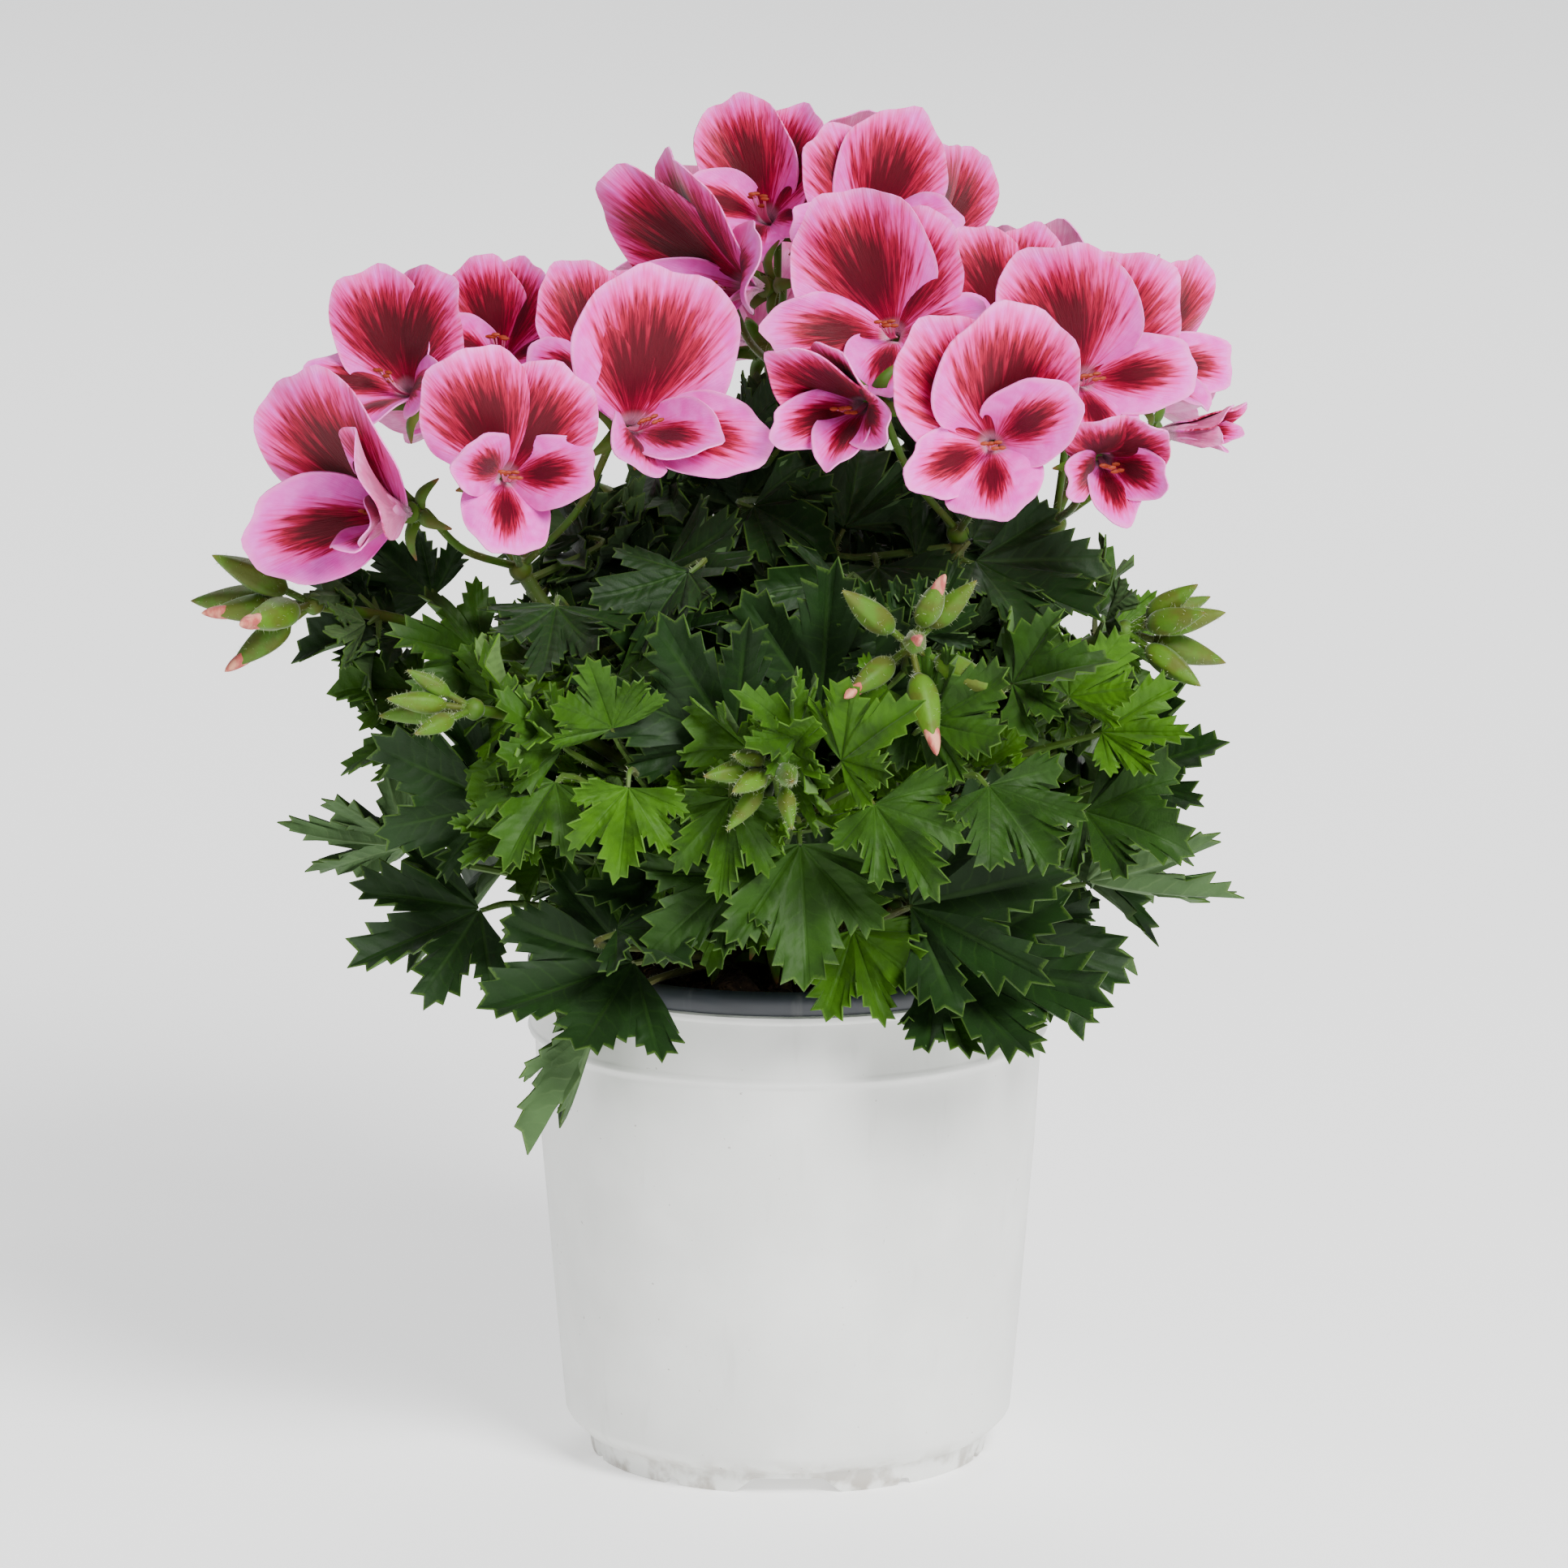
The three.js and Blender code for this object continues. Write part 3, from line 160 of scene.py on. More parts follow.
# %% The plan of the leaves
# where the stalk meets the blade, the way the middle rib points, the way the upper face looks, length, stem
LEAVES = [
    ((-46, -62, 126), (-0.45, -0.35, -1), (-1, 0.4, 0.3), 38, "front_left"),
    ((-38, -62, 139), (-1, -0.5, -0.3), (-0.1, -1, 0.6), 44, "front_left"),
    ((-26, -56, 159), (-0.8, -0.3, 0.5), (0.1, -1, 0.5), 38, "front_left"),
    ((-76, -48, 149), (-1, -0.3, -0.45), (0, -1, 0.9), 40, "left_front"),
    ((-94, -22, 159), (-1, -0.1, 0.05), (0.1, 0.8, 0.6), 30, "left"),
    ((-71, -58, 178), (-0.9, -0.3, 0.5), (-0.3, -1, 0.3), 38, "left_front"),
    ((-90, -26, 199), (-1, -0.1, 0.1), (0, -0.6, 1), 24, "left"),
    ((-87, -36, 188), (-1, -0.2, -0.05), (0, -0.6, 1), 23, "left_front"),
    ((-96, -22, 212), (-1, -0.1, -0.1), (0, -0.6, 1), 25, "left"),
    ((-88, -8, 219), (-0.7, -0.1, 0.7), (-0.5, -1, 0.3), 27, "left"),
    ((-13, -78, 198), (-0.6, -0.2, 1), (-0.3, -1, 0.1), 40, "front"),
    ((8, -72, 205), (0.05, -0.2, 1), (0, -1, 0.2), 42, "front"),
    ((2, -97, 204), (-0.7, -0.5, 0.7), (0, -1, 0.6), 22, "front"),
    ((13, -98, 198), (0.75, -0.4, 0.65), (-0.2, -1, 0.5), 26, "front"),
    ((34, -91, 206), (0.85, -0.4, 0.55), (0.1, -1, 0.5), 27, "front_right"),
    ((21, -97, 187), (0.6, -0.4, -0.8), (0.1, -1, 0.7), 27, "front"),
    ((49, -86, 189), (0.6, -0.5, -0.75), (0.2, -1, 0.8), 28, "front_right"),
    ((3, -84, 174), (0.05, -0.4, -0.9), (0.1, -1, 0.4), 36, "front"),
    ((30, -70, 155), (1, -0.35, 0.3), (0, -1, 0.5), 48, "front_right"),
    ((36, -66, 141), (1, -0.4, -0.15), (0, -1, 0.7), 46, "right_front"),
    ((36, -66, 135), (0.8, -0.6, -0.3), (0, -0.8, 0.9), 30, "front_right"),
    ((74, -22, 150), (1, -0.15, -0.25), (-0.1, 0.5, 0.8), 40, "right"),
    ((81, -38, 181), (1, -0.2, 0.3), (0, -1, 0.7), 33, "right"),
    ((73, -58, 176), (0.9, -0.4, -0.2), (0.2, -1, 0.6), 30, "right_front"),
    ((-43, -84, 203), (-0.3, -0.25, 0.9), (0, -1, 0.3), 23, "front_left"),
    ((-39, -92, 190), (-0.1, -0.4, -0.9), (0.1, -1, 0.6), 24, "front_left"),
    ((-67, -76, 176), (-0.6, -0.5, -0.4), (0, -1, 0.8), 20, "front_left"),
    ((-42, -74, 150), (1, -0.4, 0.1), (0, -0.6, 1), 34, "front_left"),
    ((46, -44, 236), (0.9, -0.4, -0.5), (0.3, -0.6, 0.9), 36, "right_front"),
    ((22, -42, 234), (0.1, -0.7, -0.6), (0, -1, 0.8), 33, "right_front"),
    ((-57, -50, 226), (-0.1, -0.7, -0.5), (0, -1, 0.8), 30, "left_front"),
    ((55, -70, 211), (0.8, -0.4, 0.3), (0.1, -1, 0.6), 27, "right_front"),
    ((69, -62, 206), (0.5, -0.4, 0.7), (0.2, -1, 0.4), 23, "right_front"),
    ((77, -58, 196), (0.9, -0.3, 0.05), (0.1, -1, 0.8), 24, "right_front"),
    ((-75, -48, 212), (-0.6, -0.5, 0.3), (-0.2, -1, 0.6), 29, "left_front"),
    ((-57, -82, 189), (-0.4, -0.6, -0.5), (-0.2, -1, 0.7), 25, "front_left"),
    ((-55, -82, 198), (-0.7, -0.4, 0.6), (-0.2, -1, 0.4), 24, "front_left"),
    ((-14, -90, 187), (-0.1, -0.4, -0.9), (0.1, -1, 0.5), 25, "front"),
    ((-12, -82, 166), (-0.8, -0.4, -0.6), (0, -1, 0.6), 30, "front"),
    ((16, -70, 149), (0.3, -0.5, -0.9), (0, -1, 0.5), 28, "front"),
    ((8, -50, 159), (0.3, -0.2, 0.9), (0, -1, 0.3), 36, "front"),
    ((-30, -40, 195), (-0.4, -0.1, 1), (0, -1, 0.2), 38, "centre"),
    ((20, -38, 189), (0.4, -0.1, 1), (0, -1, 0.2), 38, "centre"),
    ((-44, -50, 179), (-0.8, -0.3, 0.4), (-0.1, -1, 0.4), 34, "left_front"),
]

# rings of leaves: height, radius, leaves, size, how much they look up, swing of the ribs, start, sweep
DOME_RINGS = [
    (146, 62, 10, 42, 0.9, 60, 50, 300),
    (166, 70, 12, 40, 0.7, 90, 23, 360),
    (187, 72, 13, 38, 0.6, 110, 5, 360),
    (206, 62, 12, 36, 0.7, 110, 17, 360),
    (222, 42, 8, 33, 0.9, 130, 0, 360),
    (234, 20, 4, 32, 1.4, 180, 30, 360),
]
print("plan:", len(LEAVES), "listed leaves and", sum(ring[2] for ring in DOME_RINGS), "places in rings")

# %% [markdown]
# Curves through a few points give stems and stalks their easy bends. The points are joined by cubic pieces
# whose slopes allow for uneven spacing, so a stalk never loops between two close points.

# %% Directions, chance and curves


def draw(n):
    """A repeatable number from 0 to 1 for the nth draw."""
    s = np.sin(n * 12.9898 + 4.1414) * 43758.5453
    return s - np.floor(s)


def unit(v):
    """Vectors over their lengths."""
    return v / np.linalg.norm(v, axis=-1, keepdims=True)


def dot(a, b):
    """The sum of the products of the coordinates."""
    return np.sum(a * b, axis=-1)


def outward(azimuth):
    """The level direction at an azimuth in degrees, 0 being the front and 90 the right."""
    a = np.radians(azimuth)
    return np.stack([np.sin(a), -np.cos(a), 0 * a], axis=-1)


def spline(points, t):
    """Points at shares t along the curve through some points: points (..., n, 3) with t (...).

    Between two points it is a cubic with the slopes there, which weigh the steps before and after by the
    square roots of their lengths. A point is added before the first and after the last, straight on.
    """
    points = np.asarray(points, float)
    ends = [2 * points[..., :1, :] - points[..., 1:2, :], 2 * points[..., -1:, :] - points[..., -2:-1, :]]
    knots = np.concatenate([ends[0], points, ends[1]], axis=-2)
    pieces = points.shape[-2] - 1
    place = np.asarray(t, float) * pieces
    piece = np.minimum(np.floor(place).astype(int), pieces - 1)
    w = (place - piece)[..., None]
    if knots.ndim == 2:
        near = [knots[piece + i] for i in range(4)]
    else:
        near = [np.take_along_axis(knots, (piece + i)[..., None, None], axis=-2)[..., 0, :] for i in range(4)]
    spans = [np.linalg.norm(near[i + 1] - near[i], axis=-1, keepdims=True) ** 0.5 for i in range(3)]
    step = (near[2] - near[1]) / spans[1]
    before = (near[1] - near[0]) / spans[0] - (near[2] - near[0]) / (spans[0] + spans[1]) + step
    after = step - (near[3] - near[1]) / (spans[1] + spans[2]) + (near[3] - near[2]) / spans[2]
    slopes = [before * spans[1], after * spans[1]]
    square = -3 * near[1] + 3 * near[2] - 2 * slopes[0] - slopes[1]
    cube = 2 * near[1] - 2 * near[2] + slopes[0] + slopes[1]
    return near[1] + slopes[0] * w + square * w**2 + cube * w**3


print("middle of a bow over three points:", spline([(0, 0, 0), (10, 0, 5), (20, 0, 0)], 0.5).tolist())

# %% [markdown]
# Each stem rises from the compost near the pot's middle and arches outwards to its crown, where the stalk
# of a head or of a bunch goes on. Four points are enough for such a bow: foot, soil, halfway and crown. A
# stem could be grown step by step by rules, but four points can be set against the picture.

# %% Curves of the stems
STEM_NAMES = list(STEMS)
stem_azimuths, stem_reaches, stem_heights = (
    np.array([STEMS[name][i] for name in STEM_NAMES], float) for i in range(3)
)
stem_outward = outward(stem_azimuths)
stem_feet = np.where(np.array(STEM_NAMES) == "centre", 0, STEM_CIRCLE)


def stem_points():
    """The four points of every stem: foot, soil, halfway and crown."""

    def at(reach, z):
        return stem_outward * reach[:, None] + UP * np.broadcast_to(z, len(reach))[:, None]

    middle = (stem_feet + stem_reaches) * 0.52
    rows = [at(stem_feet, STEM_FOOT), at(stem_feet, SOIL_CENTRE)]
    rows += [at(middle, (SOIL_CENTRE + stem_heights) * 0.5 - 4), at(stem_reaches, stem_heights)]
    return np.stack(rows, axis=1)


STEM_CURVES = stem_points()


def head_path(stem):
    """The stalk of a stem's head: crown, halfway and 3 mm outwards, hub."""
    crown = STEM_CURVES[stem, 3]
    hub = np.array(HUBS[STEMS[STEM_NAMES[stem]][3]], float)
    return np.stack([crown, (crown + hub) / 2 + 3 * stem_outward[stem], hub])


def bunch_path(stem, hub):
    """The stalk of a bunch of buds: crown, halfway and raised by 0.08 of the length, hub."""
    crown = STEM_CURVES[stem, 3]
    hub = np.array(hub, float)
    return np.stack([crown, (crown + hub) / 2 + UP * 0.08 * np.linalg.norm(crown - hub), hub])


print("stems:", len(STEM_NAMES), "with crowns up to", stem_heights.max(), "mm")

# %% [markdown]
# Leaves turn their faces to the light and keep out of each other's way. The listed leaves come first. Each
# place of a ring then takes, out of ninety tries, the leaf that crosses least of what is there, counted in
# millimetres of crossing discs and pierced blades. All tries of a place are weighed at once as arrays.

# %% How leaves cross
STALK_CLASH = 14  # millimetres of crossing that one pierced blade counts for
STALK_ROOM = 3  # nearer than this, the stalks of two stems touch
FAR_APART = 110  # leaves whose joints are farther apart can't cross
KEYS = ("joint", "along", "normal", "size", "stem", "middle", "radius", "path")


def with_room(joint, rib, face, size, stem):
    """Frames, discs and stalk paths of some leaves, as one table of arrays.

    A leaf's disc has its middle 0.4 of the leaf's size along the rib, and 0.66 of the size is its radius.
    The higher a leaf sits, the farther up its stalk leaves the stem, and it meets the blade from behind and
    below.
    """
    along = unit(rib)
    normal = unit(face - along * dot(face, along)[:, None])
    top = stem_heights[stem]
    share = np.clip((joint[:, 2] - 18 - SOIL_CENTRE) / (top - SOIL_CENTRE), 0.1, 0.95)
    start = spline(STEM_CURVES[stem], 0.34 + 0.64 * share)
    bend = joint - 0.2 * size[:, None] * along - 0.12 * size[:, None] * normal
    path = np.stack([start, bend, joint], axis=1)
    middle = joint + 0.4 * size[:, None] * along
    return dict(zip(KEYS, (joint, along, normal, size, stem, middle, 0.66 * size, path)))


def joined(a, b):
    """Two tables of leaves as one."""
    return {key: np.concatenate([a[key], b[key]]) for key in KEYS}


def discs_cross(a, b):
    """The length on which each disc of a crosses each disc of b.

    The planes of two discs meet in a line. Each disc covers a piece of it, and the length is the pieces'
    overlap.
    """
    line = np.cross(a["normal"][:, None], b["normal"][None])
    length = np.linalg.norm(line, axis=-1)
    line = line / np.maximum(length, 1e-9)[..., None]
    walk = np.cross(line, a["normal"][:, None])
    apart = b["middle"][None] - a["middle"][:, None]
    slope = dot(walk, b["normal"][None])
    step = dot(apart, b["normal"][None]) / np.where(np.abs(slope) < 1e-12, 1e-12, slope)
    towards = apart - walk * step[..., None]
    shift = dot(towards, line)
    half_a = np.sqrt(np.maximum(0, a["radius"][:, None] ** 2 - step**2))
    half_b = np.sqrt(np.maximum(0, b["radius"][None] ** 2 - dot(towards, towards) + shift**2))
    cross = np.minimum(half_a, shift + half_b) - np.maximum(-half_a, shift - half_b)
    return np.where((length < 0.02) | (half_a == 0) | (half_b == 0), 0, np.maximum(0, cross))


def pierces(paths, discs):
    """Whether each path, of three points, runs through each disc.

    A piece of it does if its ends lie on two sides of the disc's plane and it meets the plane inside the
    radius.
    """
    hit = np.zeros((len(paths), len(discs["size"])), bool)
    for i in range(2):
        start, end = paths[:, None, i], paths[:, None, i + 1]
        before = dot(start - discs["middle"][None], discs["normal"][None])
        after = dot(end - discs["middle"][None], discs["normal"][None])
        change = np.where(before == after, 1, before - after)
        point = start + (end - start) * (before / change)[..., None]
        near = np.linalg.norm(point - discs["middle"][None], axis=-1) < discs["radius"][None]
        hit |= (before * after < 0) & near
    return hit


def stalks_touch(a, b):
    """Whether the lower halves of two leaves' stalks come close, at nine points each, on different stems."""
    walks = []
    for leaves in (a, b):
        start, end = leaves["path"][:, 0], leaves["path"][:, 1]
        walks.append(start[:, None] + (end - start)[:, None] * np.linspace(0, 1, 9)[None, :, None])
    apart = walks[0][:, None, :, None] - walks[1][None, :, None, :]
    near = (np.linalg.norm(apart, axis=-1) < STALK_ROOM).any(axis=(2, 3))
    return near & (a["stem"][:, None] != b["stem"][None])


def clashes(a, b):
    """How badly each leaf of a crosses each leaf of b, in millimetres."""
    total = discs_cross(a, b)
    pierced = pierces(a["path"], b).astype(int) + pierces(b["path"], a).T + stalks_touch(a, b)
    far = np.linalg.norm(a["joint"][:, None] - b["joint"][None], axis=-1) > FAR_APART
    return np.where(far, 0, total + STALK_CLASH * pierced)


listed = with_room(
    np.array([leaf[0] for leaf in LEAVES], float),
    np.array([leaf[1] for leaf in LEAVES], float),
    np.array([leaf[2] for leaf in LEAVES], float),
    np.array([leaf[3] for leaf in LEAVES], float),
    np.array([STEM_NAMES.index(leaf[4]) for leaf in LEAVES]),
)
crossings = np.triu(discs_cross(listed, listed), 1)
print("listed leaves cross in", int((crossings > 0).sum()), "pairs, by up to", crossings.max().round(1), "mm")

# %% [markdown]
# The blades of a real plant tilt towards the light and their ribs point outwards and down, each in its own
# way. A try draws all of this by chance round the ring's mean values. The draws come from one formula that
# the solids use too, so both choose the same leaves.

# %% Tries for a place
TRIES = 90
INNER_REACH = 30  # what lies nearer the axis belongs to the centre
FIRST_SEED = 608


def ring_tries(ring, place, seed):
    """All tries for a place of a ring.

    The azimuth steps round the ring by the sweep over the number of leaves. The rib lies between downhill
    and sideways, at the angle of the swing, and the face looks outwards and, by the lift, up.
    """
    height, reach, leaves, size, lift, swing, start, sweep = ring
    attempts = np.arange(TRIES)

    def chance(k):
        return draw(seed + 0.1 * k + 31 * attempts) - 0.5

    azimuth = start + (place * sweep) / leaves + 20 * chance(1)
    out = outward(azimuth)
    joint = out * (reach * (1 + 0.24 * chance(2)))[:, None]
    joint[:, 2] = height + 14 * chance(3)
    lifts = (lift + 0.5 * chance(4))[:, None]
    swings = np.radians(2 * swing * chance(5))[:, None]
    downhill = unit(out * lifts - UP)
    rib = downhill * np.cos(swings) + outward(azimuth + 90) * np.sin(swings)
    centre = STEM_NAMES.index("centre")
    facing = out @ stem_outward.T
    facing[:, centre] = -2
    stem = np.full(TRIES, centre) if reach < INNER_REACH else facing.argmax(axis=1)
    return with_room(joint, rib, out + UP * lifts, size * (1 + 0.3 * chance(7)), stem)


first = ring_tries(DOME_RINGS[0], 0, FIRST_SEED)
print("sizes tried for the first place:", first["size"].min().round(1), "to", first["size"].max().round(1))

# %% [markdown]
# Flowers and buds stand over the leaves, so no leaf may stand in the way of their stalks. The stalks of
# heads and bunches are gathered first, and a leaf that one of them would pierce counts as a clash too.

# %% Place the leaves
TOLERATED_CLASH = 8
SHARPEST_BEND = 0.3  # cosine of the bend in the middle of a leaf's stalk

bearer_stems = [STEM_NAMES.index(bunch[0]) for bunch in BUD_BUNCHES.values()]
bearer_paths = [bunch_path(stem, bunch[1]) for stem, bunch in zip(bearer_stems, BUD_BUNCHES.values())]
for stem, name in enumerate(STEM_NAMES):
    if STEMS[name][3]:
        bearer_stems.append(stem)
        bearer_paths.append(head_path(stem))
bearer_stems = np.array(bearer_stems)
bearer_paths = np.stack(bearer_paths)

found = listed
seed = FIRST_SEED
for ring in DOME_RINGS:
    for place in range(ring[2]):
        tries = ring_tries(ring, place, seed)
        seed += 1
        through = pierces(bearer_paths, tries) & (bearer_stems[:, None] != tries["stem"][None])
        total = clashes(tries, found).sum(axis=1) + STALK_CLASH * through.sum(axis=0)
        runs = [unit(tries["path"][:, i + 1] - tries["path"][:, i]) for i in range(2)]
        total[dot(runs[0], runs[1]) < SHARPEST_BEND] = np.inf
        best = int(total.argmin())
        if total[best] < TOLERATED_CLASH:
            found = joined(found, {key: tries[key][best : best + 1] for key in KEYS})
leaf_count = len(found["size"])
print("leaves:", leaf_count)

# %% [markdown]
# The dome is closed by many small leaves that the solids leave out. They are placed by the same rule, in
# rings of their own, and each one's stalk leaves the nearest point below it of a stem, a head's stalk or a
# bunch's stalk. Scattering them freely would be simpler, but then they would cut through the large leaves
# and the flowers.

# %% Where small leaves can grow
# rings as over the dome: height, radius, leaves, size, how much they look up, swing of ribs, start, sweep
SMALL_RINGS = [
    (150, 36, 10, 30, 0.6, 170, 8, 360),
    (170, 42, 12, 32, 0.6, 170, 20, 360),
    (192, 42, 12, 32, 0.6, 170, 0, 360),
    (138, 50, 10, 24, 0.8, 120, 10, 360),
    (154, 60, 14, 25, 0.7, 140, 0, 360),
    (172, 66, 17, 23, 0.6, 160, 12, 360),
    (190, 66, 19, 22, 0.6, 160, 5, 360),
    (206, 58, 17, 23, 0.7, 170, 15, 360),
    (220, 44, 14, 26, 0.7, 170, 0, 360),
    (232, 50, 14, 28, 0.6, 120, 8, 360),
    (244, 32, 11, 27, 0.8, 160, 20, 360),
    (256, 14, 6, 24, 0.9, 180, 0, 360),
]
RIM_CLEAR = 138  # no small leaf comes lower than this near the pot's rim
RIM_INSIDE = 52  # and the rim is near from this distance on
BEARING_POINTS = 40  # places on each stem or stalk where a small leaf can grow


def through_rim(leaves):
    """Whether any of twelve points round each leaf's disc comes near the pot's wall."""
    around = np.linspace(0, 2 * np.pi, 12, endpoint=False)[None, :, None]
    side = np.cross(leaves["along"], leaves["normal"])
    spokes = np.cos(around) * leaves["along"][:, None] + np.sin(around) * side[:, None]
    edge = leaves["middle"][:, None] + leaves["radius"][:, None, None] * spokes
    return ((edge[..., 2] < RIM_CLEAR) & (np.hypot(edge[..., 0], edge[..., 1]) > RIM_INSIDE)).any(axis=1)


bearing = []
for stem in range(len(STEM_NAMES)):
    curves = [STEM_CURVES[stem]] + [path for path, owner in zip(bearer_paths, bearer_stems) if owner == stem]
    for curve in curves:
        places = spline(curve, np.linspace(0.12, 0.96, BEARING_POINTS))
        bearing.append(np.column_stack([places, np.full(BEARING_POINTS, stem)]))
bearing = np.concatenate(bearing)
print("places on stems and stalks:", len(bearing))

# %% [markdown]
# A small leaf may cross its neighbours more than a large one, as in a real crowd, but it keeps clear of
# flowers, buds and the pot's rim. A short stalk that climbs is best, so a long one and one that hangs cost
# something. They could be pushed apart until nothing crosses, but then the dome would be open again.

# %% Place the small leaves
SMALL_TOLERANCE = 46
FLOWER_ROOM = 22
BUNCH_ROOM = 16
STALK_LENGTH = 20
STALK_RISE = 5  # a leaf that is less than this above its place on the stem hangs
HANGING_COST = 40
SMALL_SEED = 4001

throats = np.array([flower[1] for flower in FLOWERS.values()], float)
bunch_hubs = np.array([bunch[1] for bunch in BUD_BUNCHES.values()], float)

seed = SMALL_SEED
for ring in SMALL_RINGS:
    for place in range(ring[2]):
        tries = ring_tries(ring, place, seed)
        seed += 1
        apart = tries["joint"][:, None] - bearing[None, :, :3]
        away = np.linalg.norm(apart, axis=-1) + HANGING_COST * (apart[..., 2] < STALK_RISE)
        nearest = away.argmin(axis=1)
        tries["path"][:, 0] = bearing[nearest, :3]
        tries["stem"] = bearing[nearest, 3].astype(int)
        total = clashes(tries, found).sum(axis=1) + 0.3 * np.abs(away.min(axis=1) - STALK_LENGTH)
        for things, room in ((throats, FLOWER_ROOM), (bunch_hubs, BUNCH_ROOM)):
            clear = np.linalg.norm(tries["middle"][:, None] - things[None], axis=-1).min(axis=1)
            total[clear < room + 0.3 * tries["size"]] = np.inf
        total[through_rim(tries)] = np.inf
        best = int(total.argmin())
        if total[best] < SMALL_TOLERANCE:
            found = joined(found, {key: tries[key][best : best + 1] for key in KEYS})
print("small leaves:", len(found["size"]) - leaf_count)

# %% [markdown]
# The tip of each stem is a tuft of very young leaves, bright, crumpled and not yet spread. They sit too
# close for the rule above, so they are set in an arc round the tip, which opens to the plant's outside,
# with some chance in their rise and size. Copies of one tuft would be simpler, and would look like copies.

# %% Tufts at the tips of the stems
TUFT = 6  # leaves round each growing tip
TUFT_SEED = 300

for stem in range(len(STEM_NAMES)):
    if stem_reaches[stem] < INNER_REACH:
        continue
    random = np.random.default_rng(TUFT_SEED + stem)
    spread = stem_azimuths[stem] + np.linspace(-75, 75, TUFT) + 16 * (random.random(TUFT) - 0.5)
    rise = 1.1 * random.random(TUFT)[:, None] - 0.3
    rib = unit(outward(spread) + UP * rise)
    crown = STEM_CURVES[stem, 3]
    joint = crown + rib * (11 + 9 * random.random(TUFT))[:, None]
    face = 0.5 * stem_outward[stem] + UP * (1.2 - rise)
    tuft = with_room(joint, rib, face, 12 + 7 * random.random(TUFT), np.full(TUFT, stem))
    tuft["path"][:, 0] = crown
    tuft["path"][:, 1] = (crown + joint) / 2 + UP
    found = joined(found, tuft)
print("leaves with the tufts:", len(found["size"]))

# %% [markdown]
# A bunch of buds comes out of a ruff of young leaves that leave its stalk a little below the buds and lean
# away from it. They are set in a circle round the stalk, each at its own angle and lean, because an even
# star would look made.

# %% Ruffs below the buds
RUFF = 5  # leaves round the stalk of each bunch
RUFF_SEED = 900
RUFF_PLACE = 0.72  # share of the way up the stalk

for path, stem, bunch in zip(bearer_paths, bearer_stems, BUD_BUNCHES.values()):
    random = np.random.default_rng(int(sum(bunch[1]) + RUFF_SEED))
    seat = spline(path, RUFF_PLACE)
    axis = unit(np.array(bunch[2], float))
    across = unit(np.cross(axis, UP))
    angle = np.arange(RUFF) * 2 * np.pi / RUFF + 0.9 * random.random(RUFF)
    out = np.cos(angle)[:, None] * across + np.sin(angle)[:, None] * np.cross(axis, across)
    lean = np.radians(52 + 34 * random.random(RUFF))[:, None]
    rib = axis * np.cos(lean) + out * np.sin(lean)
    face = axis * np.sin(lean) - out * np.cos(lean)
    joint = seat + rib * (5 + 5 * random.random(RUFF))[:, None]
    ruff = with_room(joint, rib, face, 14 + 7 * random.random(RUFF), np.full(RUFF, stem))
    ruff["path"][:, 0] = seat
    ruff["path"][:, 1] = (seat + joint) / 2 - 0.5 * face
    found = joined(found, ruff)
print("leaves in all:", len(found["size"]))

# %% [markdown]
# Every piece is put together from parts: arrays of points, faces of one or more kinds, and values that the
# materials read. Writing whole arrays into a mesh is fast, and each part's signed volume shows at once
# whether its faces look outwards.

# %% Parts


def part(points, faces, place=None, edge=0.0, tint=0.5):
    """Points (n, 3); faces, a list of (indices, kind); place (n, 2); edge and tint as numbers or arrays."""
    points = np.asarray(points, float).reshape(-1, 3)
    place = np.zeros((len(points), 2)) if place is None else np.asarray(place, float).reshape(-1, 2)
    edge = np.broadcast_to(np.asarray(edge, float).reshape(-1), len(points))
    tint = np.broadcast_to(np.asarray(tint, float).reshape(-1), len(points))
    return {"points": points, "faces": faces, "place": place, "edge": edge, "tint": tint}


def grid_faces(rows, columns, around=False):
    """Four-cornered faces of a grid of points; around joins the last column to the first."""
    index = np.arange(rows * columns).reshape(rows, columns)
    if around:
        index = np.concatenate([index, index[:, :1]], axis=1)
    corners = [index[:-1, :-1], index[:-1, 1:], index[1:, 1:], index[1:, :-1]]
    return np.stack(corners, axis=-1).reshape(-1, 4)


def volume(piece):
    """Signed volume of a part, positive when its faces look outwards.

    It is the sum, over the triangles, of a sixth of the product of the three corners.
    """
    total = 0
    for faces, _ in piece["faces"]:
        corner = piece["points"][faces]
        for i in range(1, faces.shape[1] - 1):
            total += dot(corner[:, 0], np.cross(corner[:, i], corner[:, i + 1])).sum() / 6
    return total


print("a grid of 3 rows and 4 columns has", len(grid_faces(3, 4)), "faces")

# %% [markdown]
# Leaves, petals and sepals are thin but not without thickness: light catches their margins, and a closed
# body has a clear inside. Each is a grid of points that is moved by half the thickness to both sides of
# itself and closed by a rim. A Solidify modifier could do this too, but worked out here each blade is
# closed before it is joined with others, so its volume can be measured.

# %% Sheets


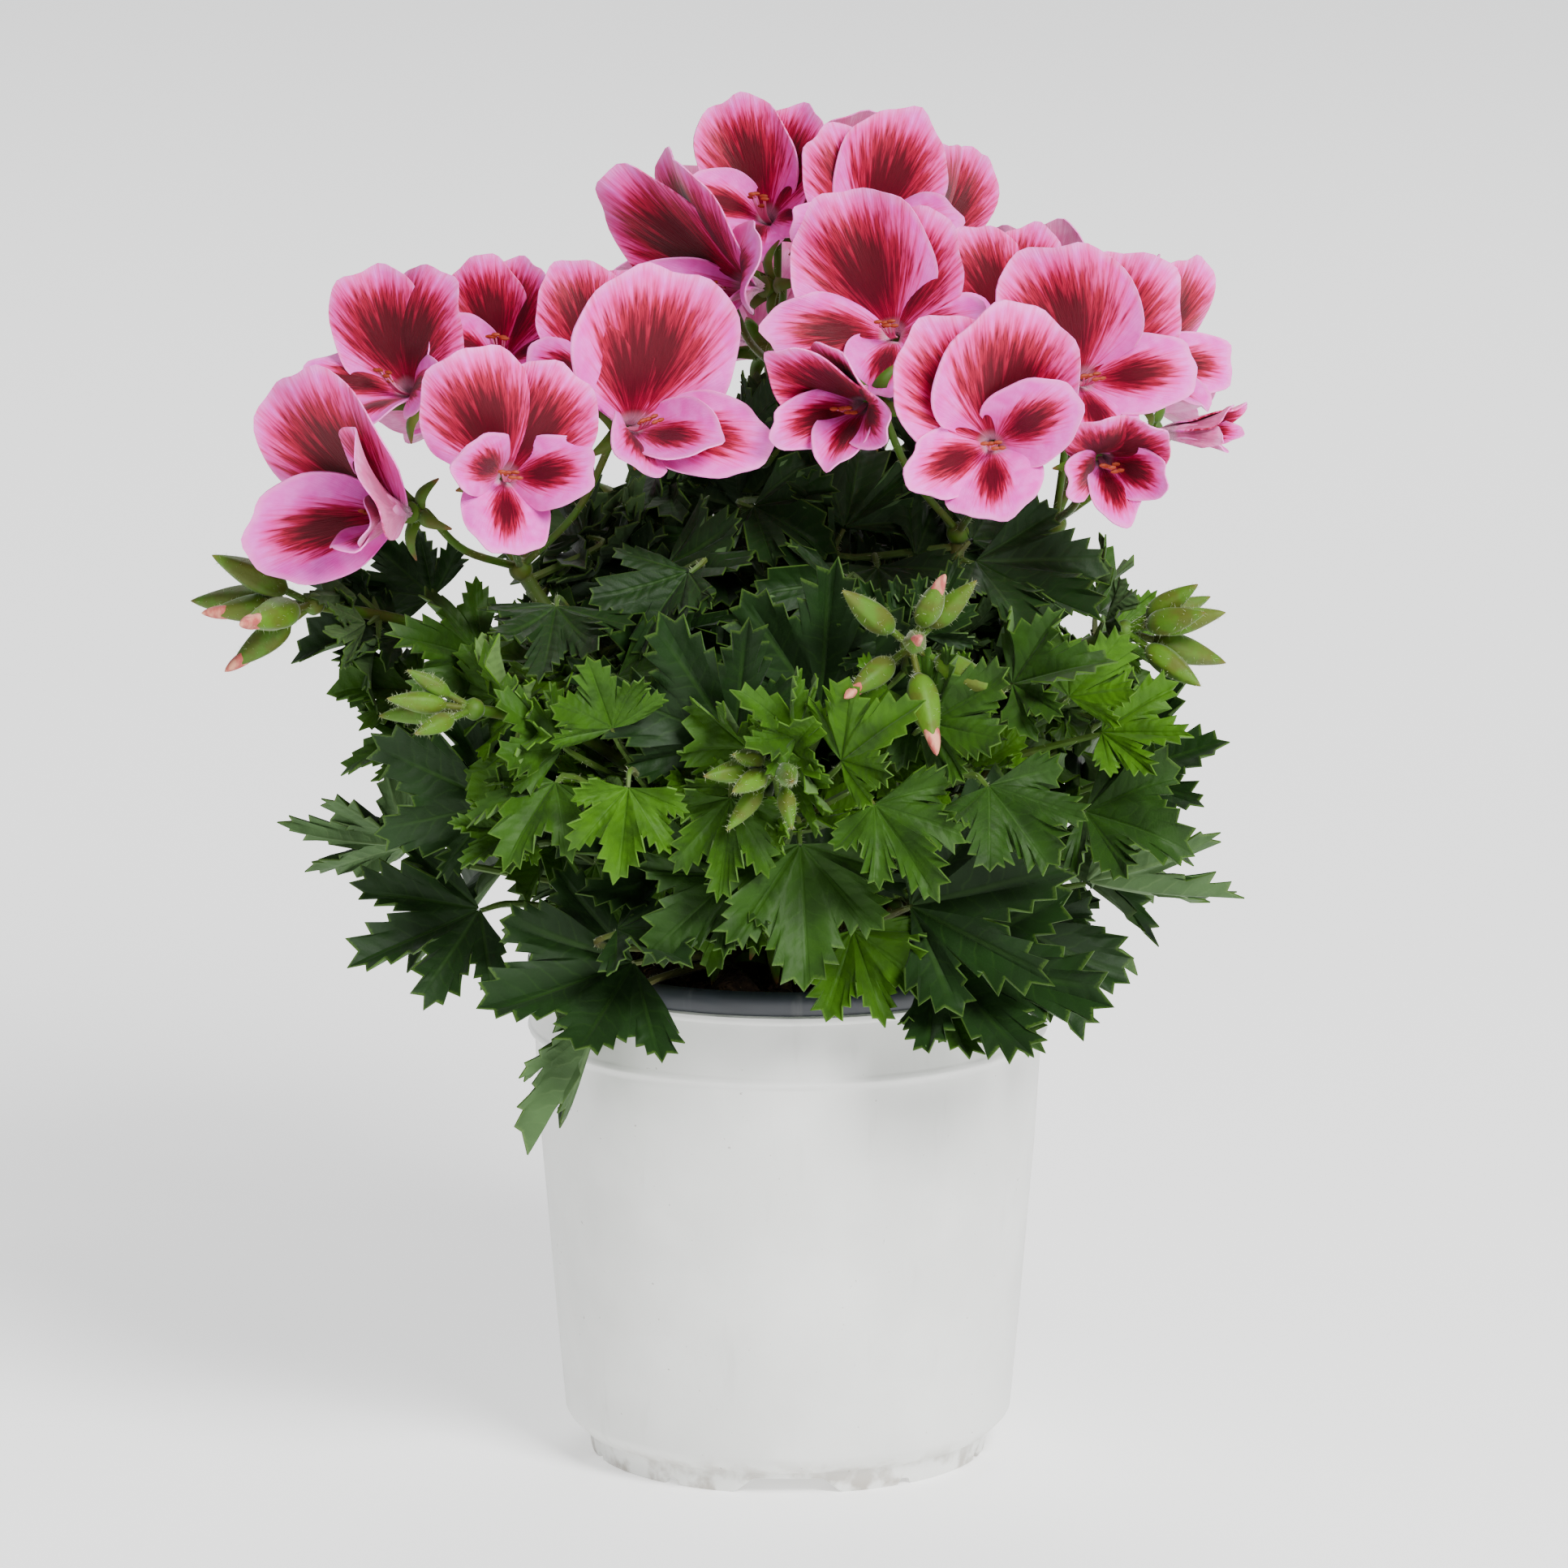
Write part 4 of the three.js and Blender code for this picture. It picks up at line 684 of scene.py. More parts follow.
def sheet(grid, thickness, place, edge, tint, kinds=(0, 1, 0)):
    """A closed thin body round a grid (rows, columns, 3): its front, its back and its rim.

    The normal at a point is the product of the grid's two slopes there, and the two faces lie half the
    thickness before and behind the grid along it.
    """
    rows, columns = grid.shape[:2]
    count = rows * columns
    normal = unit(np.cross(np.gradient(grid, axis=0), np.gradient(grid, axis=1)) + 1e-12)
    layers = np.concatenate([grid + normal * thickness / 2, grid - normal * thickness / 2])
    quads = grid_faces(rows, columns)
    index = np.arange(count).reshape(rows, columns)
    loop = np.concatenate([index[0], index[1:, -1], index[-1, -2::-1], index[-2:0:-1, 0]])
    after = np.roll(loop, -1)
    rim = np.stack([loop, after, after + count, loop + count], axis=-1)
    faces = [(quads[:, ::-1], kinds[0]), (quads + count, kinds[1]), (rim, kinds[2])]
    doubled = [np.concatenate([np.asarray(a).reshape(count, -1)] * 2) for a in (place, edge, tint)]
    return part(layers, faces, *doubled)


level = np.dstack([*np.meshgrid(np.arange(11.0), np.arange(11.0)), np.zeros((11, 11))])
trial = sheet(level, 1, level[..., :2], level[..., 0], level[..., 0])
print("a sheet of 10 by 10 by 1 mm holds", round(float(volume(trial)), 1), "cubic mm")

# %% [markdown]
# Stems, stalks, buds and anthers are round and bend, and most of them are hairy. A tube of rings along a
# curve serves for all of them, fat or thin. Blender's own curves could be given a thickness, but rings can
# also swell, have ribs and carry values for the materials. Hairs are spikes with three sides, the cheapest
# body there is.

# %% Tubes and hairs
HAIR_RADIUS = 0.045


def rings(centres, radii, sides, kind=0, edge=0.0, tint=0.5):
    """A closed tube: rings of points across a path, and a flat end at each side.

    The point at angle a of a ring is its centre plus the radius times cos a across and sin a over the path.
    The direction across is carried on from ring to ring, so the tube doesn't twist.
    """
    run = unit(np.gradient(centres, axis=0))
    across = np.cross(run[0], UP if abs(run[0][2]) < 0.9 else np.array([1.0, 0, 0]))
    sides_of = []
    for direction in run:
        across = unit(across - direction * dot(across, direction))
        sides_of.append(across)
    across = np.array(sides_of)
    over = np.cross(run, across)
    angle = np.arange(sides) / sides * 2 * np.pi
    spoke = across[:, None] * np.cos(angle)[:, None] + over[:, None] * np.sin(angle)[:, None]
    radii = np.asarray(radii, float)
    radii = np.broadcast_to(radii if radii.ndim == 2 else radii.reshape(-1, 1), (len(centres), sides))
    points = centres[:, None] + spoke * radii[..., None]
    faces = grid_faces(len(centres), sides, around=True)
    last = (len(centres) - 1) * sides
    ends = np.stack([np.arange(sides)[::-1], last + np.arange(sides)])
    along = np.concatenate([[0], np.cumsum(np.linalg.norm(np.diff(centres, axis=0), axis=1))])
    place = np.stack(np.broadcast_arrays(along[:, None], angle[None]), axis=-1)
    edge = np.broadcast_to(np.reshape(edge, (-1, 1)), (len(centres), sides))
    return part(points, [(faces, kind), (ends, kind)], place, edge, tint)


def fuzz(one, count, length, random, kind=1):
    """Fine hairs on a part, as three-sided spikes that stand on random places of its faces.

    A root is a random mean of a face's corners, and the tip lies a random length away, close to the normal.
    """
    quads = one["faces"][0][0]
    corner = one["points"][quads[random.integers(0, len(quads), count)]]
    root = (corner * random.dirichlet(np.ones(4), count)[..., None]).sum(axis=1)
    normal = unit(np.cross(corner[:, 2] - corner[:, 0], corner[:, 3] - corner[:, 1]) + 1e-9)
    lean = unit(normal + 0.9 * (random.random((count, 3)) - 0.5))
    across = unit(np.cross(lean, [0.3, 0.5, 0.81]))
    angle = np.arange(3) / 3 * 2 * np.pi
    ring = across[:, None] * np.cos(angle)[:, None] + np.cross(lean, across)[:, None] * np.sin(angle)[:, None]
    tip = root + lean * (length * (0.5 + 0.8 * random.random(count)))[:, None]
    points = np.concatenate([root[:, None] - 0.05 * lean[:, None] + HAIR_RADIUS * ring, tip[:, None]], axis=1)
    spike = np.array([[0, 1, 3], [1, 2, 3], [2, 0, 3], [2, 1, 0]])
    faces = (spike[None] + 4 * np.arange(count)[:, None, None]).reshape(-1, 3)
    return part(points, [(faces, kind)])


trial = rings(np.linspace((0, 0, 0), (0, 0, 10), 3), 1.0, 12)
print("a tube of 12 sides, 1 mm in radius and 10 mm long, holds", round(float(volume(trial)), 1), "cubic mm")

# %% [markdown]
# A piece is one object: it has a name, rides on a body, has a slot for its finish and may take the place of
# solids. Its parts are joined into one mesh, because thousands of small objects would be slow.

# %% Pieces
SHARP_ANGLE = 50  # edges that bend more than this stay sharp


def make_piece(name, parts, materials, replaces=()):
    """One object from parts, riding on the plant's only body.

    The parts' points follow each other, so each part's faces count on by the number of points before it.
    """
    inside_out = sum(volume(one) < 0 for one in parts)
    starts = np.cumsum([0] + [len(one["points"]) for one in parts])
    blocks = [(faces + start, kind) for one, start in zip(parts, starts) for faces, kind in one["faces"]]
    corners = np.concatenate([faces.ravel() for faces, _ in blocks])
    sizes = np.concatenate([np.full(len(faces), faces.shape[1]) for faces, _ in blocks])
    kinds = np.concatenate([np.full(len(faces), kind) for faces, kind in blocks])
    mesh = bpy.data.meshes.new(name)
    mesh.vertices.add(starts[-1])
    mesh.vertices.foreach_set("co", (np.concatenate([one["points"] for one in parts]) * MM).ravel())
    mesh.loops.add(len(corners))
    mesh.loops.foreach_set("vertex_index", corners)
    mesh.polygons.add(len(sizes))
    mesh.polygons.foreach_set("loop_start", np.cumsum(sizes) - sizes)
    mesh.polygons.foreach_set("material_index", kinds)
    mesh.update(calc_edges=True)
    mesh.polygons.foreach_set("use_smooth", np.ones(len(sizes), bool))
    mesh.set_sharp_from_angle(angle=math.radians(SHARP_ANGLE))
    places = np.concatenate([one["place"] for one in parts])
    mesh.uv_layers.new(name="place").uv.foreach_set("vector", places[corners].ravel())
    for key in ("edge", "tint"):
        values = np.concatenate([one[key] for one in parts])
        mesh.attributes.new(key, "FLOAT", "POINT").data.foreach_set("value", values)
    for material in materials:
        mesh.materials.append(material)
    piece = bpy.data.objects.new(name, mesh)
    bpy.context.scene.collection.objects.link(piece)
    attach(piece, "root")
    if replaces:
        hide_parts(*replaces)
    triangles = int((sizes - 2).sum())
    made[name] = triangles
    print("piece:", name, triangles, "triangles,", inside_out, "parts inside out")


made = {}
print("pieces so far:", len(made))

# %% [markdown]
# Materials are small graphs. Leaves and petals read their own flat coordinates, so veins and blotches grow
# from the stalk or the claw as they do on the plant; the pot and the compost read the object's coordinates.

# %% Graph helper


def colour(red, green, blue):
    """A screen colour from 0 to 255 as the linear light that shaders take."""
    c = np.array([red, green, blue]) / 255
    linear = np.where(c <= 0.04045, c / 12.92, ((c + 0.055) / 1.055) ** 2.4)
    return (*linear.tolist(), 1.0)


class Graph:
    """A material's nodes, each made and linked by one call."""

    def __init__(self, name, **constants):
        self.material = bpy.data.materials.new(name)
        self.material.use_nodes = True
        self.nodes = self.material.node_tree.nodes
        self.links = self.material.node_tree.links
        self.shader = self.nodes["Principled BSDF"]
        for socket, value in constants.items():
            self.shader.inputs[socket.replace("_", " ")].default_value = value

    def feed(self, socket, value):
        """Links another node's output, or sets a plain value."""
        if isinstance(value, bpy.types.NodeSocket):
            self.links.new(value, socket)
        else:
            socket.default_value = value

    def math(self, operation, *values):
        node = self.nodes.new("ShaderNodeMath")
        node.operation = operation
        for socket, value in zip(node.inputs, values):
            self.feed(socket, value)
        return node.outputs[0]

    def plus(self, a, b):
        return self.math("ADD", a, b)

    def minus(self, a, b):
        return self.math("SUBTRACT", a, b)

    def times(self, a, b):
        return self.math("MULTIPLY", a, b)

    def over(self, a, b):
        return self.math("DIVIDE", a, b)

    def rest(self, value):
        """What is missing from 1."""
        return self.math("SUBTRACT", 1.0, value)

    def length(self, x, y):
        """The root of the sum of the squares."""
        return self.math("SQRT", self.plus(self.times(x, x), self.times(y, y)))

    def smooth(self, value, low, high):
        """0 below low and 1 above high, with a soft step between."""
        node = self.nodes.new("ShaderNodeMapRange")
        node.interpolation_type = "SMOOTHSTEP"
        self.feed(node.inputs["Value"], value)
        self.feed(node.inputs["From Min"], low)
        self.feed(node.inputs["From Max"], high)
        return node.outputs["Result"]

    def mix(self, share, a, b):
        """Colour a where the share is 0 and b where it is 1."""
        node = self.nodes.new("ShaderNodeMix")
        node.data_type = "RGBA"
        for index, value in ((0, share), (6, a), (7, b)):
            self.feed(node.inputs[index], value)
        return node.outputs[2]

    def lay(self, base, where, amount, tone):
        """The base with some of a screen colour laid over it where a value is high."""
        return self.mix(self.times(where, amount), base, colour(*tone))

    def noise(self, vector, scale, detail=4, stretch=(1, 1, 1)):
        """Values from 0 to 1 that change over about 1 / scale, longer where the stretch is under 1."""
        mapping = self.nodes.new("ShaderNodeMapping")
        mapping.inputs["Scale"].default_value = stretch
        self.links.new(vector, mapping.inputs["Vector"])
        node = self.nodes.new("ShaderNodeTexNoise")
        node.inputs["Scale"].default_value = scale
        node.inputs["Detail"].default_value = detail
        self.links.new(mapping.outputs["Vector"], node.inputs["Vector"])
        return node.outputs["Fac"]

    def attribute(self, name):
        node = self.nodes.new("ShaderNodeAttribute")
        node.attribute_name = name
        return node.outputs["Fac"]

    def place(self):
        """The flat coordinates of a blade: along its middle and across it."""
        node = self.nodes.new("ShaderNodeUVMap")
        node.uv_map = "place"
        split = self.nodes.new("ShaderNodeSeparateXYZ")
        self.links.new(node.outputs["UV"], split.inputs[0])
        return node.outputs["UV"], split.outputs[0], split.outputs[1]

    def object_place(self):
        """The place in the object's own frame, in metres."""
        return self.nodes.new("ShaderNodeTexCoord").outputs["Object"]

    def height_of(self, place):
        split = self.nodes.new("ShaderNodeSeparateXYZ")
        self.links.new(place, split.inputs[0])
        return split.outputs["Z"]

    def finish(self, base, roughness=None, height=None, strength=0.3, distance=0.0004):
        """Feeds the shader: colour, roughness, and a bump from a height."""
        self.feed(self.shader.inputs["Base Color"], base)
        if roughness is not None:
            self.feed(self.shader.inputs["Roughness"], roughness)
        if height is not None:
            bump = self.nodes.new("ShaderNodeBump")
            bump.inputs["Strength"].default_value = strength
            bump.inputs["Distance"].default_value = distance
            self.links.new(height, bump.inputs["Height"])
            self.links.new(bump.outputs["Normal"], self.shader.inputs["Normal"])
        return self.material


print("the screen's middle grey as light:", round(colour(128, 128, 128)[0], 3))

# %% [markdown]
# A leaf's upper face is a dull deep green, brighter on young leaves and darker on old ones and on those that
# the tint puts in painted shade inside the dome, with a thin yellow-green margin at the teeth and paler
# veins:
# one main vein to each lobe and side veins that slant off it. The blade is quilted between them. The
# underside is paler and greyer. All of this follows from the angle and the distance from the stalk.

# %% Leaf materials
LOBE_STEP = 35


def leaf_material(name, old_and_shaded, young, margin, vein_colour, vein_depth, rough):
    """One face of the leaves: a colour for old leaves and those in painted shade, one for young unshaded
    ones, one for the margin and one for the veins, and how deep the veins lie.

    Along and across are measured from the nearest lobe's middle line. Main veins are where across is close
    to 0, and side veins where 9 along - 8 across, with a wobble, is halfway between two whole numbers.
    """
    g = Graph(name, Sheen_Weight=0.03, Sheen_Roughness=0.5, Specular_IOR_Level=0.22)
    uv, x, y = g.place()
    edge, tint = g.attribute("edge"), g.attribute("tint")
    radius = g.length(x, y)
    angle = g.over(g.math("ARCTAN2", y, x), math.radians(LOBE_STEP))
    nearest = g.math("ROUND", g.math("MINIMUM", g.math("MAXIMUM", angle, -2.0), 2.0))
    off = g.times(g.minus(angle, nearest), math.radians(LOBE_STEP))
    across = g.math("ABSOLUTE", g.times(g.math("SINE", off), radius))
    along = g.times(g.math("COSINE", off), radius)
    wobble = g.noise(uv, 5.0, 3)
    main = g.rest(g.smooth(across, 0.004, 0.02))
    slant = g.minus(g.times(along, 9.0), g.times(across, 8.0))
    wave = g.math("FRACT", g.plus(slant, g.times(wobble, 1.2)))
    ridge = g.math("ABSOLUTE", g.minus(wave, 0.5))
    side = g.rest(g.smooth(ridge, 0.02, 0.11))
    vein = g.math("MAXIMUM", main, g.times(side, 0.6))
    vein = g.times(vein, g.smooth(edge, 1.05, 0.5))
    patches = g.noise(uv, 3.2, 5)
    grain = g.noise(uv, 60.0, 2)
    # tint 0 gives the old colour, also to leaves put in painted shade inside the dome
    green = g.mix(tint, colour(*old_and_shaded), colour(*young))
    green = g.lay(green, g.smooth(patches, 0.35, 0.75), 0.45, [0.62 * c for c in old_and_shaded])
    green = g.lay(green, vein, 0.22, vein_colour)
    rim = g.smooth(g.plus(edge, g.times(g.minus(grain, 0.5), 0.05)), 0.97, 1.0)
    green = g.lay(green, rim, 0.22, margin)
    quilt = g.minus(g.times(g.smooth(ridge, 0.0, 0.5), 0.6), g.times(main, 0.8))
    height = g.plus(g.times(quilt, vein_depth), g.times(grain, 0.35))
    roughness = g.plus(rough, g.times(patches, 0.18))
    return g.finish(green, roughness, height, 0.35, 0.0005)


leaf_top = leaf_material(
    "leaf_upper_face", (12, 40, 4), (84, 138, 0), (100, 140, 44), (54, 92, 22), 1.0, 0.5
)
leaf_under = leaf_material(
    "leaf_underside", (68, 96, 54), (98, 132, 62), (116, 146, 70), (120, 146, 92), -1.0, 0.62
)
print("materials:", leaf_top.name, leaf_under.name, "with", len(leaf_top.node_tree.nodes), "nodes each")

# %% [markdown]
# Stalks, stems, sepals and buds are green as well, but finely streaked or blotched with red and brown, and
# woody at the foot of a stem. Their hairs are pale and catch the light. Noise in the object's own
# coordinates is enough for all of these. Painted pictures could show more, but would need a flat map of
# each stalk.

# %% Materials of stalks, sepals and hairs


def stalk_material():
    """Green stalks, brown and woody where they come out of the compost, flushed with red here and there."""
    g = Graph("stalk_skin", Sheen_Weight=0.1, Sheen_Roughness=0.4, Specular_IOR_Level=0.4)
    coords = g.object_place()
    tint = g.attribute("tint")
    streaks = g.noise(coords, 240.0, 4, (1, 1, 0.25))
    blotch = g.noise(coords, 60.0, 3)
    # a leaf's stalk gets its leaf's tint, so it is darker where the leaf is in painted shade
    base = g.mix(tint, colour(36, 60, 14), colour(84, 120, 30))
    base = g.lay(base, g.smooth(blotch, 0.5, 0.72), 0.5, (86, 50, 26))
    wood = g.rest(g.smooth(g.height_of(coords), 0.124, 0.15))
    base = g.lay(base, wood, 0.75, (96, 72, 48))
    base = g.lay(base, g.smooth(streaks, 0.45, 0.8), 0.25, (112, 142, 62))
    return g.finish(base, g.plus(0.45, g.times(streaks, 0.3)), streaks, 0.3, 0.0004)


def sepal_material():
    """Bright hairy green of buds and sepals, brownish red towards the tips."""
    g = Graph("sepal_skin", Sheen_Weight=0.2, Sheen_Roughness=0.35, Specular_IOR_Level=0.3)
    coords = g.object_place()
    edge, tint = g.attribute("edge"), g.attribute("tint")
    fine = g.noise(coords, 900.0, 2)
    blotch = g.noise(coords, 160.0, 3)
    base = g.mix(tint, colour(46, 80, 14), colour(84, 124, 22))
    base = g.lay(base, g.smooth(blotch, 0.4, 0.65), 0.6, (80, 70, 22))
    base = g.mix(g.smooth(edge, 0.78, 1.05), base, colour(120, 70, 44))
    return g.finish(base, g.plus(0.5, g.times(fine, 0.2)), fine, 0.4, 0.0003)


def hair_material():
    """Pale green hairs, a little lighter here and there."""
    g = Graph("hair", Specular_IOR_Level=0.4)
    coords = g.object_place()
    patch = g.noise(coords, 200.0, 2)
    return g.finish(g.mix(patch, colour(140, 160, 104), colour(196, 206, 168)), 0.5)


stalk_skin, sepal_skin, hair = stalk_material(), sepal_material(), hair_material()
print("materials:", stalk_skin.name, sepal_skin.name, hair.name)

# %% [markdown]
# A leaf's outline is read from one half lobe, drawn once: three coarse teeth that stand out sideways and a
# little towards the lobe's tip. Each leaf stretches its lobes and teeth by chance, so no two are alike, and
# folds its margin in waves that grow towards the edge. The leaves could be copies of one model, turned, but
# a crowd of equal leaves shows at a glance.

# %% The outline of a leaf
# half a lobe's corners: place in the fan, share of the way from the tip to the notch, and the tooth's step
# along the lobe and away from its middle
HALF_LOBE = np.array([
    (0, 0, 0, 0),
    (0.11, 0.2, 0, -0.01),
    (0.17, 0.27, 0.06, 0.045),
    (0.23, 0.42, 0, -0.015),
    (0.3, 0.5, 0.055, 0.06),
    (0.36, 0.68, 0, -0.012),
    (0.43, 0.76, 0.04, 0.045),
    (0.5, 1, 0, 0),
])


def fan_of(corners):
    """The lobe, the side and the corner of each column of a fan, for some of the half lobe's corners."""
    halves = [(lobe, -1, h) for lobe in range(-2, 3) for h in corners[1:]]
    halves += [(lobe, 1, h) for lobe in range(-2, 3) for h in corners[:-1]] + [(2, 1, corners[-1])]
    return np.array(sorted(halves, key=lambda c: -(c[0] + c[1] * HALF_LOBE[c[2], 0]))).T


# the columns and the rows of a large leaf's fan, and of a small one's, which has a tooth less
LARGE_LEAF = fan_of(range(8)), np.array([0.03, 0.14, 0.3, 0.47, 0.64, 0.78, 0.9, 1.0])[:, None]
SMALL_LEAF = fan_of([0, 1, 2, 3, 4, 7]), np.array([0.04, 0.4, 0.75, 1.0])[:, None]
print("columns of a large leaf's fan and of a small one's:", LARGE_LEAF[0].shape[1], SMALL_LEAF[0].shape[1])

# %% [markdown]
# A blade isn't flat. It is cupped, folded along its middle, pleated from lobe to lobe and ruffled at the
# margin, and a young one is crumpled, because it has not spread yet. Each of these is a term of one height
# over the flat blade, so a leaf can have more of one and less of another by chance. Cloth simulation could
# find such folds, but not leaf by leaf in the time of a render.

# %% One leaf
LEAF_SPAN = 2.5  # half of the fan, in lobes
LEAF_THICKNESS = 0.4
LOBE_LENGTHS = np.array([0.68, 0.88, 1, 0.88, 0.68])
YOUNG_SIZE = 30  # leaves up to this size are crumpled


def leaf_part(joint, along, normal, size, tint, random, detail):
    """The blade of one leaf as a thin closed sheet, as detailed as a large leaf or a small one.

    At share t of the way out a point lies at the distance t (S + (R - S) t^2) from the stalk, R being the
    toothed outline in its direction and S the outline without teeth. The height is the sum of a cup r^1.8,
    a fold that grows with the distance from a lobe's middle, a fold along the middle rib, a droop x^3 and
    three waves that grow with t^3, t^5 and t^8.
    """
    (fan_lobe, fan_sign, fan_corner), t = detail
    fan_within = fan_sign * HALF_LOBE[fan_corner, 0]
    fan_columns = fan_lobe + fan_within
    side = np.cross(along, normal)
    # the outline: each lobe's edge runs from its tip to the notch, and its teeth stand out sideways
    share, step, aside = HALF_LOBE[fan_corner, 1:].T
    strength = 0.6 + 0.9 * random.random(len(fan_columns))
    notch = 0.44 + 0.2 * random.random()
    turn = math.radians(LOBE_STEP / 2)
    x = 1 - share + share * notch * math.cos(turn) + step * strength
    y = share * notch * math.sin(turn) + 0.05 * np.sin(np.pi * share) + aside * strength
    lengths = LOBE_LENGTHS * (1 + 0.2 * (random.random(5) - 0.5))
    reach = np.hypot(x, y) * lengths[fan_lobe + 2]
    smooth_reach = (1 - (1 - notch) * np.abs(2 * fan_within) ** 0.9) * lengths[fan_lobe + 2]
    phases = random.random(5) * 2 * np.pi
    sway = 0.12 * np.sin(1.7 * fan_columns + phases[3]) * (1 - (fan_columns / LEAF_SPAN) ** 4)
    plain_angle = np.radians(LOBE_STEP) * (fan_columns + sway)
    tooth_angle = np.radians(LOBE_STEP) * (fan_lobe + sway) + fan_sign * np.arctan2(y, x)
    angle = plain_angle + (tooth_angle - plain_angle) * t**3
    r = t * (smooth_reach + (reach - smooth_reach) * t**2)
    x, y = r * np.cos(angle), r * np.sin(angle)
    crumple = 1 if size > YOUNG_SIZE else 1.9
    # cupped, folded along the middle and along each lobe, drooping or rising at the tips, waved at the margin
    folded = np.abs(2 * fan_within)
    height = (0.2 * random.random()) * r**1.8 + (0.1 + 0.14 * random.random()) * r * folded
    height = height + (0.3 * random.random() ** 1.5) * crumple * np.abs(y) * (1 - 0.4 * np.abs(y))
    height = height + (0.2 * random.random() - 0.16) * crumple * np.maximum(x, 0) ** 3
    height = height + 0.06 * crumple * t**3 * np.sin(2.6 * fan_columns + phases[0])
    height = height + 0.05 * crumple * t**5 * np.sin(6.1 * fan_columns + phases[1])
    height = height + 0.02 * t**8 * np.sin(15 * fan_columns + phases[2])
    grid = joint + size * (x[..., None] * along + y[..., None] * side + height[..., None] * normal)
    place = np.stack([x, y], axis=-1)
    return sheet(grid, LEAF_THICKNESS, place, np.broadcast_to(t, x.shape), np.full(x.shape, tint))


trial = leaf_part(0 * UP, outward(0), UP, 40, 0.5, np.random.default_rng(0), LARGE_LEAF)
print("a leaf of size 40 is", np.ptp(trial["points"], axis=0).round(1).tolist(), "mm wide, long and deep")

# %% [markdown]
# Each stem's leaves make one piece and its stalks another, so a finish can be given to all leaves of a stem
# at once. Small young leaves are bright and old ones dark. Leaves near the axis, which are older and lie deep
# in the dome, are darkened further as painted shade, and leaves above 205 mm are darker too, so the tint is
# worked out from size and place. It could be drawn by chance alone, but then the plant would look speckled.

# %% Leaves on their stems
HAIRY_SIZE = 20  # the stalks of larger leaves have hairs
STALK_HAIRS, STEM_HAIRS = 26, 160
LEAF_SEED = 1000
STEM_STEPS = 34


def path_of(points, steps):
    """Equal steps of the curve through some points."""
    return spline(points, np.linspace(0, 1, steps))


def leaf_youth_and_shade(joint, size, random):
    """How bright a leaf's tint is: small young leaves are bright, and leaves near the axis, older and in
    painted shade deep in the dome, are dark, as are those above 205 mm.
    """
    # the nearer the axis, the darker: the leaf's age, and painted shade inside the dome
    young = 1.05 - size / 34 - 0.035 * max(0, 62 - math.hypot(joint[0], joint[1]))
    young -= 0.03 * max(0, joint[2] - 205)
    return float(np.clip(young + 0.4 * (random.random() - 0.5), 0.02, 1))


def leaf_stalk(path, size, tint):
    """A tube that thins from the stem to the blade."""
    steps, sides = (12, 7) if size > 28 else (8, 5)
    taper = np.linspace(1.25, 0.65, steps) * (0.65 + 0.35 * size / 40)
    return rings(path_of(path, steps), taper, sides, tint=tint)


for stem, name in enumerate(STEM_NAMES):
    blades, stalks = [], []
    for i in np.flatnonzero(found["stem"] == stem):
        random = np.random.default_rng(LEAF_SEED + int(i))
        size = found["size"][i]
        # the tint darkens leaves deep in the dome as painted shade, on the blade and on its stalk
        tint = leaf_youth_and_shade(found["joint"][i], size, random)
        joint, along, normal = (found[key][i] for key in ("joint", "along", "normal"))
        detail = LARGE_LEAF if i < leaf_count else SMALL_LEAF
        blades.append(leaf_part(joint, along, normal, size, tint, random, detail))
        path = found["path"][i].copy()
        path[2] -= 0.8 * normal
        stalks.append(leaf_stalk(path, size, 0.4 + 0.5 * tint))
        if size > HAIRY_SIZE:
            stalks.append(fuzz(stalks[-1], STALK_HAIRS, 1.1, random))
    node = "leafy_stem_" + name
    make_piece("leaves_" + name, blades, [leaf_top, leaf_under], [node])
    curve = STEM_CURVES[stem]
    head = STEMS[name][3]
    if head:
        curve = np.concatenate([curve, head_path(stem)[1:]])
    centres = path_of(curve, STEM_STEPS)
    taper = np.linspace(3.1, 1.8 if head else 1.9, STEM_STEPS)
    joints = 1 + 0.1 * np.sin(np.linspace(0, 9 * np.pi, STEM_STEPS) + stem) ** 8
    stalks.append(rings(centres, taper * joints, 12, tint=0.35))
    stalks.append(fuzz(stalks[-1], STEM_HAIRS, 1.2, np.random.default_rng(stem)))
    make_piece("stalks_" + name, stalks, [stalk_skin, hair], [node])

# %% [markdown]
# A flower hangs on a thin stalk from the hub of its head and sits in a small hairy cup with five pointed
# sepals. The stalks sag a little under the flowers. The sepals show behind and below the petals.

# %% Flower frames and sepals
SEPAL = 12


def turned_about(v, axis, degrees):
    """A vector turned about a unit axis: v cos a + (axis x v) sin a + axis (axis . v) (1 - cos a)."""
    a = math.radians(degrees)
    return v * math.cos(a) + np.cross(axis, v) * math.sin(a) + axis * dot(axis, v) * (1 - math.cos(a))


def flower_frame(yaw, pitch, turn):
    """The axis that a flower faces along, the way its upper petals point, and its side."""
    a = math.radians(pitch)
    axis = outward(yaw) * math.cos(a) + UP * math.sin(a)
    top = turned_about(unit(UP - axis * dot(UP, axis)), axis, -turn)
    return axis, top, np.cross(axis, top)


